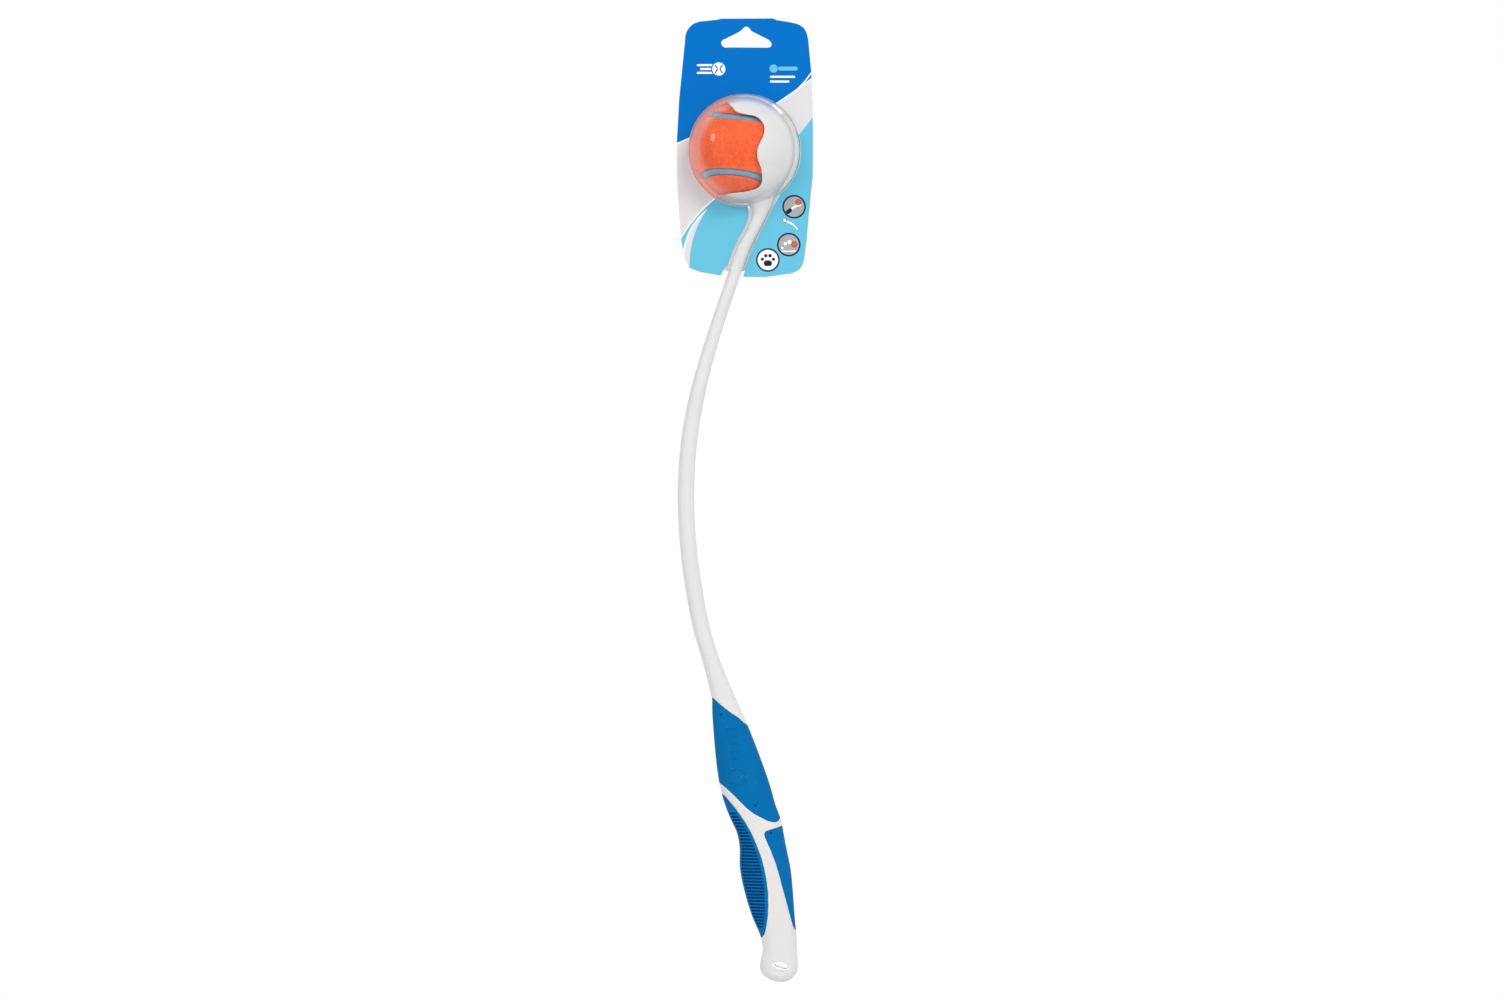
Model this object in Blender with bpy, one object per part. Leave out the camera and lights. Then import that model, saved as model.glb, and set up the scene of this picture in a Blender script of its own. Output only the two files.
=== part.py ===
"""A hand-held ball thrower for dogs, still on the hang card it is sold on.

One springy white moulding makes the cup, the curved shaft and the core of the handle. Three soft
grips are moulded into pockets of that core. A felt ball sits in the cup. A folded card and two clear
half shells close round the cup and the ball, and the whole thing hangs from the hole in the card.

Metres. The origin is where a peg bears in the hang hole, midway through the card. Seen from the
front, +X is to the right, +Z is up and +Y points away from the viewer.
"""

import math

import bmesh
import bpy
from mathutils import Euler, Vector

# Ball
BALL_RADIUS = 0.0325
BALL_CENTRE_X = -0.0031
BALL_CENTRE_Z = -0.0815
FELT_THICKNESS = 0.0028
CORE_GAP = 0.0005
SEAM_WIDTH = 0.0050
SEAM_SINK = 0.0006
SEAM_RISE_DEGREES = 55.1
SEAM_SWAY_DEGREES = 17.0
CORE_WALL = 0.0035
BALL_TURN_DEGREES = (-95.8, -39.5, -5.5)

# Cup
CUP_CLEARANCE = 0.0005
CUP_WALL = 0.0022

# Shaft, from inside the cup down to the handle
SHAFT_LENGTH = 0.3445
SHAFT_BOW = 0.0587
SHAFT_WIDTH = 0.01077
SHAFT_DEPTH = 0.0119

# Handle
HANDLE_LENGTH = 0.1861
HANDLE_LEAN = 0.0361
HANDLE_WIDTH = 0.0334
HANDLE_DEPTH = 0.0231
GRIP_THICKNESS = 0.0020

# Hang card and clear shells
CARD_BORDER = 0.0032
CARD_HEIGHT = 0.1710
CARD_TOP_RISE = 0.0058
CARD_THICKNESS = 0.0004
HANG_HOLE_WIDTH = 0.0334
HANG_HOLE_HEIGHT = 0.0139
SHELL_THICKNESS = 0.00035
DOME_SHIFT = 0.0018
DOME_SIDE_ROOM = 0.0020
DOME_FRONT_ROOM = 0.0019
CHANNEL_ROOM = 0.0018
CHANNEL_END_RISE = 0.0039
FLANGE_WIDTH = 0.0045

# Clearances and the overrun of cutters
FIT_GAP = 0.0003
SHEET_GAP = 0.0002
OVERRUN = 0.0100

# Facets
ARM_SIDES = 20
ARM_STEP = 0.0180
CUP_SEGMENTS = 36
CUP_RINGS = 18
DOME_SEGMENTS = 28
DOME_RINGS = 14
SEAM_STEPS = 48
FELT_COLUMNS = 8
CORE_SEGMENTS = 16
CORE_RINGS = 4
WINDOW_SEGMENTS = 48
OUTLINE_STEPS = 2
SMOOTH_DEGREES = 35
MITRE_LIMIT = 0.5
SMALLEST_SHARE = 1e-6
NUDGE_SHARE = 0.01

# Fullness of a rounded section: 2 is an ellipse, and more is squarer
SECTION_POWER = 2.25
DOME_POWER = 2.3

# Shares of the shaft and of the handle between which the grips lie, the share of the shaft at which
# the channel of the clear shells leaves the dome, and the side of the seam that the first panel is on
GRIP_SPAN_SHARES = (0.94, 0.93)
CHANNEL_TOP_SHARE = 0.02
FELT_SIDE = 1

# Top of the shaft's centre line, as shares of the cup's outer radius from the ball's centre
SHAFT_TOP_SHARES = (0.6215, -0.5209)

# Down the shaft as a share of its length, then the centre's share of the bow, the half width as a
# share of the shaft's half width, and the half depth as a share of its half depth. The first rows
# flare into the cup's wall.
SHAFT_SHARES = (
    (0.000, 0.101, 2.58, 2.70),
    (0.023, 0.169, 2.45, 2.35),
    (0.040, 0.208, 2.27, 1.85),
    (0.046, 0.174, 1.72, 1.50),
    (0.054, 0.162, 1.33, 1.22),
    (0.065, 0.168, 1.02, 1.02),
    (0.079, 0.192, 0.88, 0.92),
    (0.128, 0.336, 0.85, 0.89),
    (0.211, 0.511, 0.82, 0.91),
    (0.257, 0.604, 0.82, 0.93),
    (0.326, 0.734, 0.85, 0.96),
    (0.418, 0.877, 0.95, 1.00),
    (0.510, 0.969, 0.99, 1.00),
    (0.602, 1.000, 1.00, 1.00),
    (0.693, 0.980, 1.01, 1.00),
    (0.785, 0.913, 1.03, 1.00),
    (0.877, 0.803, 1.05, 1.02),
    (0.923, 0.719, 1.09, 1.03),
    (0.969, 0.630, 1.28, 1.05),
)
SHAFT_END_SHARE = 0.570

# Down the handle as a share of its length, then the centre's share of the lean, the half width as a
# share of the handle's half width, and the half depth as a share of its half depth.
HANDLE_SHARES = (
    (0.000, 0.000, 0.478, 0.556),
    (0.043, 0.049, 0.581, 0.610),
    (0.085, 0.105, 0.674, 0.675),
    (0.128, 0.159, 0.755, 0.740),
    (0.213, 0.263, 0.893, 0.840),
    (0.298, 0.371, 0.990, 0.915),
    (0.383, 0.495, 0.998, 0.960),
    (0.426, 0.583, 0.990, 0.975),
    (0.468, 0.654, 0.925, 0.985),
    (0.511, 0.698, 0.915, 0.990),
    (0.596, 0.748, 1.000, 1.000),
    (0.681, 0.814, 0.955, 0.955),
    (0.766, 0.897, 0.844, 0.860),
    (0.851, 1.003, 0.694, 0.740),
    (0.886, 1.017, 0.670, 0.690),
    (0.922, 1.004, 0.727, 0.650),
    (0.943, 1.000, 0.751, 0.625),
    (0.958, 1.000, 0.731, 0.580),
    (0.972, 1.002, 0.660, 0.520),
    (0.983, 1.009, 0.545, 0.440),
    (0.992, 1.021, 0.390, 0.330),
    (0.998, 1.036, 0.215, 0.200),
    (1.000, 1.040, 0.110, 0.110),
)

# Rim of the cup seen from the front, as shares of the cup's outer radius from the ball's centre,
# from the tip of the upper lip to the tip of the lower one
RIM_SHARES = (
    (-0.319, 0.913),
    (-0.184, 0.774),
    (-0.101, 0.672),
    (0.084, 0.616),
    (0.240, 0.586),
    (0.334, 0.528),
    (0.401, 0.434),
    (0.420, 0.343),
    (0.396, 0.210),
    (0.334, 0.075),
    (0.296, -0.019),
    (0.285, -0.150),
    (0.302, -0.242),
    (0.358, -0.385),
    (0.371, -0.475),
    (0.377, -0.583),
    (0.366, -0.655),
    (0.313, -0.730),
    (0.191, -0.782),
    (0.041, -0.812),
    (-0.184, -0.835),
    (-0.409, -0.865),
)
# The rest of the cup's mouth, which runs round outside the sphere from the lower lip to the upper
MOUTH_SHARES = ((-0.590, -0.961), (-1.30, -0.961), (-1.30, 1.20), (-0.398, 1.20))

# Edges of the grips seen from the front, as down the handle, and across it from its centre as a
# share of its half width there, so that 1 is its right edge
UPPER_GRIP_TOP_SHARES = (
    (-0.014, -1.30),
    (-0.008, -0.98),
    (0.000, -0.74),
    (0.021, -0.24),
    (0.043, 0.23),
    (0.064, 0.65),
    (0.085, 0.91),
    (0.097, 1.30),
)
UPPER_GRIP_FOOT_SHARES = (
    (0.414, 1.30),
    (0.420, 0.98),
    (0.429, 0.84),
    (0.431, 0.70),
    (0.426, 0.46),
    (0.404, 0.08),
    (0.383, -0.15),
    (0.362, -0.32),
    (0.340, -0.49),
    (0.319, -0.68),
    (0.298, -0.91),
    (0.284, -1.30),
)
FINGER_GRIP_SHARES = (
    (0.312, -1.30),
    (0.340, -0.885),
    (0.383, -0.624),
    (0.426, -0.475),
    (0.468, -0.380),
    (0.511, -0.260),
    (0.553, -0.125),
    (0.596, -0.045),
    (0.638, -0.018),
    (0.681, -0.039),
    (0.723, -0.120),
    (0.766, -0.269),
    (0.809, -0.559),
    (0.830, -0.769),
    (0.860, -1.30),
)
PALM_GRIP_SHARES = (
    (0.441, 1.30),
    (0.446, 0.98),
    (0.460, 0.375),
    (0.465, 0.225),
    (0.474, 0.165),
    (0.489, 0.180),
    (0.532, 0.324),
    (0.574, 0.440),
    (0.617, 0.520),
    (0.660, 0.585),
    (0.702, 0.668),
    (0.745, 0.750),
    (0.787, 0.835),
    (0.809, 0.910),
    (0.845, 1.30),
)
# Lanyard slot near the end, in the same shares
SLOT_SHARES = (
    (0.935, -0.31),
    (0.929, -0.18),
    (0.927, 0.05),
    (0.929, 0.24),
    (0.937, 0.40),
    (0.946, 0.48),
    (0.950, 0.38),
    (0.947, 0.16),
    (0.941, -0.13),
)

# Outline of the card, as shares of its half width from the hang hole and of its height from its top
CARD_SHARES = (
    (-0.375, 0.003),
    (0.390, 0.002),
    (0.438, 0.008),
    (0.649, 0.017),
    (0.785, 0.028),
    (0.866, 0.048),
    (0.907, 0.083),
    (0.954, 0.215),
    (0.972, 0.330),
    (0.978, 0.470),
    (0.974, 0.610),
    (0.951, 0.664),
    (0.879, 0.871),
    (0.846, 0.933),
    (0.787, 0.968),
    (0.656, 0.986),
    (0.262, 1.000),
    (-0.032, 0.999),
    (-0.396, 0.993),
    (-0.684, 0.980),
    (-0.841, 0.964),
    (-0.921, 0.919),
    (-0.959, 0.857),
    (-0.985, 0.768),
    (-1.012, 0.664),
    (-1.022, 0.600),
    (-1.022, 0.470),
    (-0.990, 0.315),
    (-0.896, 0.066),
    (-0.860, 0.044),
    (-0.779, 0.023),
    (-0.684, 0.014),
    (-0.432, 0.007),
)
# Outline of the hang hole, as shares of its half width and of its height from its top
HANG_HOLE_SHARES = (
    (0.00, 0.00),
    (0.10, 0.06),
    (0.21, 0.22),
    (0.83, 0.60),
    (0.93, 0.69),
    (0.99, 0.83),
    (0.96, 0.95),
    (0.84, 1.00),
    (-0.86, 0.99),
    (-0.96, 0.91),
    (-1.00, 0.78),
    (-0.96, 0.66),
    (-0.31, 0.26),
    (-0.21, 0.18),
    (-0.10, 0.05),
)

# Worked out from the sizes above
CUP_INNER_RADIUS = BALL_RADIUS + CUP_CLEARANCE
CUP_OUTER_RADIUS = CUP_INNER_RADIUS + CUP_WALL
FELT_INNER_RADIUS = BALL_RADIUS - FELT_THICKNESS
DOME_RADIUS = CUP_OUTER_RADIUS + DOME_SIDE_ROOM
DOME_HEIGHT = CUP_OUTER_RADIUS + DOME_FRONT_ROOM
CARD_WIDTH = 2 * (DOME_RADIUS + FLANGE_WIDTH + CARD_BORDER)
SHAFT_TOP_X = BALL_CENTRE_X + SHAFT_TOP_SHARES[0] * CUP_OUTER_RADIUS
SHAFT_TOP_Z = BALL_CENTRE_Z + SHAFT_TOP_SHARES[1] * CUP_OUTER_RADIUS
HANDLE_TOP_Z = SHAFT_TOP_Z - SHAFT_LENGTH
HANDLE_TOP_X = SHAFT_TOP_X - SHAFT_BOW * SHAFT_END_SHARE
CARD_FOOT_Z = CARD_TOP_RISE - CARD_HEIGHT
CHANNEL_END_Z = CARD_FOOT_Z + CHANNEL_END_RISE
BALL_CENTRE = Vector((BALL_CENTRE_X, 0, BALL_CENTRE_Z))
DOME_CENTRE = BALL_CENTRE + Vector((DOME_SHIFT, 0, 0))
FRONT, BACK = -1, 1


def clear_scene():
    """Remove every object that the scene holds."""
    for obj in list(bpy.data.objects):
        bpy.data.objects.remove(obj)


def plastic(name, colour, roughness):
    """A Principled material with a base colour and a roughness."""
    material = bpy.data.materials.new(name)
    material.use_nodes = True
    shader = material.node_tree.nodes["Principled BSDF"]
    shader.inputs["Base Color"].default_value = (*colour, 1)
    shader.inputs["Roughness"].default_value = roughness
    shader.inputs["Metallic"].default_value = 0
    return material


def clear_plastic(name, colour, roughness):
    """A see-through Principled material."""
    material = plastic(name, colour, roughness)
    material.node_tree.nodes["Principled BSDF"].inputs["Transmission Weight"].default_value = 1
    return material


def object_from(name, mesh_bmesh, material=None):
    """A scene object with the bmesh's faces turned outwards and shaded smooth."""
    bmesh.ops.recalc_face_normals(mesh_bmesh, faces=mesh_bmesh.faces)
    mesh = bpy.data.meshes.new(name)
    mesh_bmesh.to_mesh(mesh)
    mesh_bmesh.free()
    mesh.shade_smooth()
    mesh.set_sharp_from_angle(angle=math.radians(SMOOTH_DEGREES))
    if material:
        mesh.materials.append(material)
    obj = bpy.data.objects.new(name, mesh)
    bpy.context.scene.collection.objects.link(obj)
    return obj


def tool(obj):
    """Mark an object as a cutter, or as a piece of another shape, so that it isn't built itself."""
    obj.hide_render = True
    obj.display_type = "WIRE"
    return obj


def combine(obj, other, operation):
    """Join, cut or trim an object by another one."""
    modifier = obj.modifiers.new(f"{operation}_{other.name}".lower(), "BOOLEAN")
    modifier.operation = operation
    modifier.solver = "EXACT"
    modifier.object = other


def join_rows(mesh, here, after):
    """Faces between two rows of points, where a row of one point closes them to a tip."""
    for column in range(max(len(here), len(after)) - 1):
        next_column = column + 1
        corners = (
            here[min(column, len(here) - 1)],
            here[min(next_column, len(here) - 1)],
            after[min(next_column, len(after) - 1)],
            after[min(column, len(after) - 1)],
        )
        mesh.faces.new(dict.fromkeys(corners))


def loft(name, rings, material=None):
    """A closed skin over rings of points, with a flat cap at each end."""
    mesh = bmesh.new()
    rows = [[mesh.verts.new(point) for point in points] for points in rings]
    for here, after in zip(rows, rows[1:]):
        join_rows(mesh, here + here[:1], after + after[:1])
    mesh.faces.new(rows[0])
    mesh.faces.new(rows[-1])
    return object_from(name, mesh, material)


def prism(name, outline, y_from, y_to, material=None):
    """A flat outline of (x, z) points, drawn through from one depth to another."""
    return loft(name, [[(x, y, z) for x, z in outline] for y in (y_from, y_to)], material)


def turned(name, profile, segments, along_y=False, closed=False, material=None):
    """A profile of (radius, height) points turned about the Z axis, or about the Y axis."""
    mesh = bmesh.new()
    rows = []
    for radius, height in profile:
        row = []
        for segment in range(segments if radius > 0 else 1):
            angle = math.tau * segment / segments
            across, other = radius * math.cos(angle), radius * math.sin(angle)
            row.append(mesh.verts.new((across, height, other) if along_y else (across, other, height)))
        rows.append(row + row[:1] if radius > 0 else row)
    for here, after in zip(rows, rows[1:] + rows[:1] if closed else rows[1:]):
        join_rows(mesh, here, after)
    return object_from(name, mesh, material)


def arc(radius, height, power, rings, start=-math.pi / 2):
    """Points of (radius, height) up the side of a rounded body, from an angle to its top."""
    points = []
    for step in range(rings + 1):
        angle = start + (math.pi / 2 - start) * step / rings
        out = abs(math.cos(angle)) ** (2 / power)
        up = math.copysign(abs(math.sin(angle)) ** (2 / power), math.sin(angle))
        points.append((radius * out if out > SMALLEST_SHARE else 0, height * up))
    return points


def slope(rows, index, column):
    """The slope of a column at a row, from the parabola through it and its two neighbours."""
    before, here, after = rows[max(index - 1, 0)], rows[index], rows[min(index + 1, len(rows) - 1)]
    if before is here or after is here:
        return (after[column] - before[column]) / (after[0] - before[0])
    step_in, step_out = here[0] - before[0], after[0] - here[0]
    slope_in = (here[column] - before[column]) / step_in
    slope_out = (after[column] - here[column]) / step_out
    return (slope_in * step_out + slope_out * step_in) / (step_in + step_out)


def read_shares(rows, down):
    """Every column of a table at one place down it, on a smooth curve through its rows."""
    index = 0
    while index < len(rows) - 2 and rows[index + 1][0] < down:
        index += 1
    here, after = rows[index], rows[index + 1]
    step = after[0] - here[0]
    at = (down - here[0]) / step
    rise = at * at * (3 - 2 * at)
    values = []
    for column in range(1, len(here)):
        leaving = at * (1 - at) ** 2 * step * slope(rows, index, column)
        arriving = at * at * (at - 1) * step * slope(rows, index + 1, column)
        values.append(here[column] + rise * (after[column] - here[column]) + leaving + arriving)
    return values


def places_down(rows, length):
    """The rows' own places and evenly spaced ones between them, no further apart than a step."""
    places = [rows[0][0]]
    for here, after in zip(rows, rows[1:]):
        count = max(1, math.ceil((after[0] - here[0]) * length / ARM_STEP))
        places += [here[0] + (after[0] - here[0]) * part / count for part in range(1, count + 1)]
    return places


def shaft_rows():
    """The shaft's table, ending with the width and depth that the handle starts with."""
    _, _, width, depth = HANDLE_SHARES[0]
    width_share = width * HANDLE_WIDTH / SHAFT_WIDTH
    depth_share = depth * HANDLE_DEPTH / SHAFT_DEPTH
    return (*SHAFT_SHARES, (1.0, SHAFT_END_SHARE, width_share, depth_share))


def shaft_section(down):
    """Centre x, half width, half depth and z of the shaft, at a share of its length."""
    centre, width, depth = read_shares(shaft_rows(), down)
    centre_x = SHAFT_TOP_X - centre * SHAFT_BOW
    z = SHAFT_TOP_Z - down * SHAFT_LENGTH
    return centre_x, width * SHAFT_WIDTH / 2, depth * SHAFT_DEPTH / 2, z


def handle_section(down):
    """Centre x, half width, half depth and z of the handle, at a share of its length."""
    centre, width, depth = read_shares(HANDLE_SHARES, down)
    centre_x = HANDLE_TOP_X + centre * HANDLE_LEAN
    z = HANDLE_TOP_Z - down * HANDLE_LENGTH
    return centre_x, width * HANDLE_WIDTH / 2, depth * HANDLE_DEPTH / 2, z


def ring(section, grow=0):
    """A level rounded oval at a section, made larger all round by a length."""
    centre_x, half_width, half_depth, z = section
    points = []
    for side in range(ARM_SIDES):
        angle = math.tau * side / ARM_SIDES
        across = math.copysign(abs(math.cos(angle)) ** (2 / SECTION_POWER), math.cos(angle))
        through = math.copysign(abs(math.sin(angle)) ** (2 / SECTION_POWER), math.sin(angle))
        points.append((centre_x + (half_width + grow) * across, (half_depth + grow) * through, z))
    return points


def arm_rings(grow=0, shaft_from=0, handle_to=1):
    """Rings down the arm, from a share of the shaft's length to a share of the handle's."""
    on_shaft = [at for at in places_down(shaft_rows(), SHAFT_LENGTH) if shaft_from <= at < 1]
    in_hand = [at for at in places_down(HANDLE_SHARES, HANDLE_LENGTH) if at <= handle_to]
    sections = [shaft_section(at) for at in on_shaft] + [handle_section(at) for at in in_hand]
    return [ring(section, grow) for section in sections]


def on_handle(down, across):
    """The point of the front view at a share down the handle and across its half width."""
    centre_x, half_width, _, z = handle_section(max(down, 0))
    return centre_x + across * half_width, z - min(down, 0) * HANDLE_LENGTH


def on_cup(across, up):
    """The point of the front view at shares of the cup's outer radius from the ball's centre."""
    return BALL_CENTRE_X + across * CUP_OUTER_RADIUS, BALL_CENTRE_Z + up * CUP_OUTER_RADIUS


def on_card(across, down):
    """The point of the front view at shares of the card's half width and of its height."""
    return across * CARD_WIDTH / 2, CARD_TOP_RISE - down * CARD_HEIGHT


def in_hang_hole(across, down):
    """The point of the front view at shares of the hang hole's half width and of its height."""
    return across * HANG_HOLE_WIDTH / 2, -down * HANG_HOLE_HEIGHT


def outline_through(place, shares, steps=1):
    """Points of the front view through a list of shares, with more on the curve between them."""
    points = [place(*share) for share in shares]
    rows = [(index, *point) for index, point in enumerate(points)]
    fine = []
    for index in range(len(rows) - 1):
        fine += [tuple(read_shares(rows, index + part / steps)) for part in range(steps)]
    return fine + [points[-1]]


def inset(outline, distance):
    """A closed outline drawn in all round by a distance."""
    ahead = outline[1:] + outline[:1]
    area = sum(here[0] * after[1] - after[0] * here[1] for here, after in zip(outline, ahead))
    turn = math.copysign(1, area)
    moved = []
    for before, here, after in zip(outline[-1:] + outline[:-1], outline, ahead):
        way_in = (Vector(here) - Vector(before)).normalized()
        way_out = (Vector(after) - Vector(here)).normalized()
        side_in = Vector((-way_in.y, way_in.x)) * turn
        side_out = Vector((-way_out.y, way_out.x)) * turn
        side = (side_in + side_out).normalized()
        moved.append(tuple(Vector(here) + side * distance / max(side.dot(side_in), MITRE_LIMIT)))
    return moved


def grip_outlines():
    """The outline of each grip's pocket in the handle, seen from the front."""
    upper = outline_through(on_handle, UPPER_GRIP_TOP_SHARES, OUTLINE_STEPS)
    return {
        "upper_grip": upper + outline_through(on_handle, UPPER_GRIP_FOOT_SHARES, OUTLINE_STEPS),
        "finger_grip": outline_through(on_handle, FINGER_GRIP_SHARES, OUTLINE_STEPS),
        "palm_grip": outline_through(on_handle, PALM_GRIP_SHARES, OUTLINE_STEPS),
    }


def build_grips(material):
    """The three soft grips, flush with the handle, and the pockets that they are moulded into."""
    span = {"shaft_from": GRIP_SPAN_SHARES[0], "handle_to": GRIP_SPAN_SHARES[1]}
    under_grips = tool(loft("grip_bed", arm_rings(-GRIP_THICKNESS, **span)))
    under_pockets = tool(loft("pocket_bed", arm_rings(-GRIP_THICKNESS - FIT_GAP, **span)))
    reach = HANDLE_DEPTH / 2 + OVERRUN
    pockets = []
    for name, outline in grip_outlines().items():
        grip = loft(name, arm_rings(**span), material)
        trim = tool(prism(f"{name}_outline", inset(outline, FIT_GAP), -reach, reach))
        combine(grip, trim, "INTERSECT")
        combine(grip, under_grips, "DIFFERENCE")
        pocket = tool(prism(f"{name}_pocket", outline, -reach, reach))
        combine(pocket, under_pockets, "DIFFERENCE")
        pockets.append(pocket)
    return pockets


def ball_tool(name, radius):
    """A sphere round the place of the ball, for the cup."""
    sphere = tool(turned(name, arc(radius, radius, 2, CUP_RINGS), CUP_SEGMENTS))
    sphere.location = BALL_CENTRE
    return sphere


def build_arm(material, pockets):
    """The white moulding: cup, shaft and handle core in one piece."""
    arm = loft("throwing_arm", arm_rings(), material)
    combine(arm, ball_tool("cup_outside", CUP_OUTER_RADIUS), "UNION")
    combine(arm, ball_tool("cup_inside", CUP_INNER_RADIUS), "DIFFERENCE")
    mouth = outline_through(on_cup, RIM_SHARES, OUTLINE_STEPS) + outline_through(on_cup, MOUTH_SHARES)
    reach = CUP_OUTER_RADIUS + OVERRUN
    combine(arm, tool(prism("cup_mouth", mouth, -reach, reach)), "DIFFERENCE")
    for pocket in pockets:
        combine(arm, pocket, "DIFFERENCE")
    slot = outline_through(on_handle, SLOT_SHARES)
    reach = HANDLE_DEPTH / 2 + OVERRUN
    combine(arm, tool(prism("lanyard_slot", slot, -reach, reach)), "DIFFERENCE")


def seam_point(turn):
    """The ball's seam at an angle round its closed curve, on a unit sphere."""
    height = math.radians(SEAM_RISE_DEGREES) * math.sin(2 * turn)
    heading = turn - math.radians(SEAM_SWAY_DEGREES) * math.sin(4 * turn)
    across, along = math.cos(height) * math.cos(heading), math.cos(height) * math.sin(heading)
    return Vector((across, along, math.sin(height)))


def beside_seam(turn, distance):
    """A point beside the seam, at a distance over the ball's surface from its middle."""
    nudge = NUDGE_SHARE * math.tau / SEAM_STEPS
    here = seam_point(turn)
    along = (seam_point(turn + nudge) - seam_point(turn - nudge)).normalized()
    angle = distance / BALL_RADIUS
    return here * math.cos(angle) + here.cross(along) * math.sin(angle)


def place_on_ball(obj, pivot):
    """Turn a ball piece to the way the ball lies in the cup, and carry it on the ball's pivot."""
    obj.rotation_euler = Euler([math.radians(angle) for angle in BALL_TURN_DEGREES], "XYZ")
    obj.parent = pivot


def build_seam(pivot, material):
    """The rubber seam: one closed band between the two felt panels."""
    half = (SEAM_WIDTH - FIT_GAP) / 2
    outer, inner = BALL_RADIUS - SEAM_SINK, FELT_INNER_RADIUS
    mesh = bmesh.new()
    rows = []
    for step in range(SEAM_STEPS):
        turn = math.tau * step / SEAM_STEPS
        left, right = beside_seam(turn, -half), beside_seam(turn, half)
        corners = (left * inner, left * outer, right * outer, right * inner)
        rows.append([mesh.verts.new(corner) for corner in corners])
    for here, after in zip(rows, rows[1:] + rows[:1]):
        join_rows(mesh, here + here[:1], after + after[:1])
    place_on_ball(object_from("ball_seam", mesh, material), pivot)


def felt_rows(mesh, middle, side, radius):
    """One face of a felt panel, as rows of points across it from one tip to the other."""
    edge = side * (SEAM_WIDTH + FIT_GAP) / 2
    count = SEAM_STEPS // 2
    rows = []
    for row in range(count + 1):
        turn = math.pi * row / count
        left, right = beside_seam(middle - turn, edge), beside_seam(middle + turn, edge)
        columns = FELT_COLUMNS if 0 < row < count else 0
        points = [left.slerp(right, column / FELT_COLUMNS) for column in range(columns + 1)]
        rows.append([mesh.verts.new(point.normalized() * radius) for point in points])
    return rows


def build_felt(name, middle, side, pivot, material):
    """A felt panel: the half of the ball's cover on one side of the seam."""
    mesh = bmesh.new()
    outer = felt_rows(mesh, middle, side, BALL_RADIUS)
    inner = felt_rows(mesh, middle, side, FELT_INNER_RADIUS)
    for rows in (outer, inner):
        for here, after in zip(rows, rows[1:]):
            join_rows(mesh, here, after)
    for end in (0, -1):
        join_rows(mesh, [row[end] for row in outer], [row[end] for row in inner])
    place_on_ball(object_from(name, mesh, material), pivot)


def build_core_half(name, side, pivot, material):
    """One moulded half of the hollow rubber core, a bowl that is open at the cemented joint."""
    outside = FELT_INNER_RADIUS - CORE_GAP
    inside = outside - CORE_WALL
    profile = arc(outside, outside, 2, CORE_RINGS, start=math.asin(FIT_GAP / 2 / outside))
    profile += reversed(arc(inside, inside, 2, CORE_RINGS, start=math.asin(FIT_GAP / 2 / inside)))
    profile = [(radius, side * height) for radius, height in profile]
    place_on_ball(turned(name, profile, CORE_SEGMENTS, closed=True, material=material), pivot)


def channel_rings(grow, foot_z):
    """Rings round the shaft from inside the dome down to a height, larger than it by a length."""
    foot = (SHAFT_TOP_Z - foot_z) / SHAFT_LENGTH
    places = [at for at in places_down(SHAFT_SHARES, SHAFT_LENGTH) if CHANNEL_TOP_SHARE <= at < foot]
    return [ring(shaft_section(at), grow) for at in (*places, foot)]


def keyhole(name, disc_radius, channel_grow, foot_z, y_from, y_to):
    """A disc round the dome's centre joined to a strip down the shaft, drawn through between two depths."""
    disc = []
    for segment in range(WINDOW_SEGMENTS):
        angle = math.tau * segment / WINDOW_SEGMENTS
        across, up = disc_radius * math.cos(angle), disc_radius * math.sin(angle)
        disc.append((DOME_CENTRE.x + across, DOME_CENTRE.z + up))
    rings = channel_rings(channel_grow, foot_z)
    right = [(max(points)[0], points[0][2]) for points in rings]
    left = [(min(points)[0], points[0][2]) for points in rings]
    shape = prism(name, disc, y_from, y_to)
    strip = tool(prism(f"{name}_strip", right + left[::-1], y_from, y_to))
    combine(shape, strip, "UNION")
    return shape


def shell_bodies(name, wall, foot_z):
    """The dome and the channel as solids, smaller all round than the shell by a wall."""
    profile = arc(DOME_RADIUS - wall, DOME_HEIGHT - wall, DOME_POWER, DOME_RINGS)
    dome = tool(turned(name, profile, DOME_SEGMENTS, along_y=True))
    dome.location = DOME_CENTRE
    channel = tool(loft(f"{name}_channel", channel_rings(CHANNEL_ROOM - wall, foot_z)))
    return dome, channel


def build_shell(name, side, parent, material):
    """A clear half shell: a dome over the ball, a channel that ends round the shaft, and a flange."""
    inner_face, outer_face = SHEET_GAP / 2, SHEET_GAP / 2 + SHELL_THICKNESS
    radius, grow = DOME_RADIUS + FLANGE_WIDTH, CHANNEL_ROOM + FLANGE_WIDTH
    shell = keyhole(name, radius, grow, CHANNEL_END_Z, side * outer_face, -side * OVERRUN)
    shell.data.materials.append(material)
    for piece in shell_bodies(f"{name}_outside", 0, CHANNEL_END_Z):
        combine(shell, piece, "UNION")
    for piece in shell_bodies(f"{name}_inside", SHELL_THICKNESS, CHANNEL_END_Z + SHELL_THICKNESS):
        combine(shell, piece, "DIFFERENCE")
    shaft_way = loft(f"{name}_shaft_way", channel_rings(FIT_GAP, CHANNEL_END_Z - OVERRUN))
    combine(shell, tool(shaft_way), "DIFFERENCE")
    reach = DOME_RADIUS + FLANGE_WIDTH + OVERRUN
    foot_z = CHANNEL_END_Z - OVERRUN
    half = [(-reach, foot_z), (reach, foot_z), (reach, reach), (-reach, reach)]
    other_half = prism(f"{name}_other_half", half, side * inner_face, -side * reach)
    combine(shell, tool(other_half), "DIFFERENCE")
    shell.parent = parent


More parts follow.
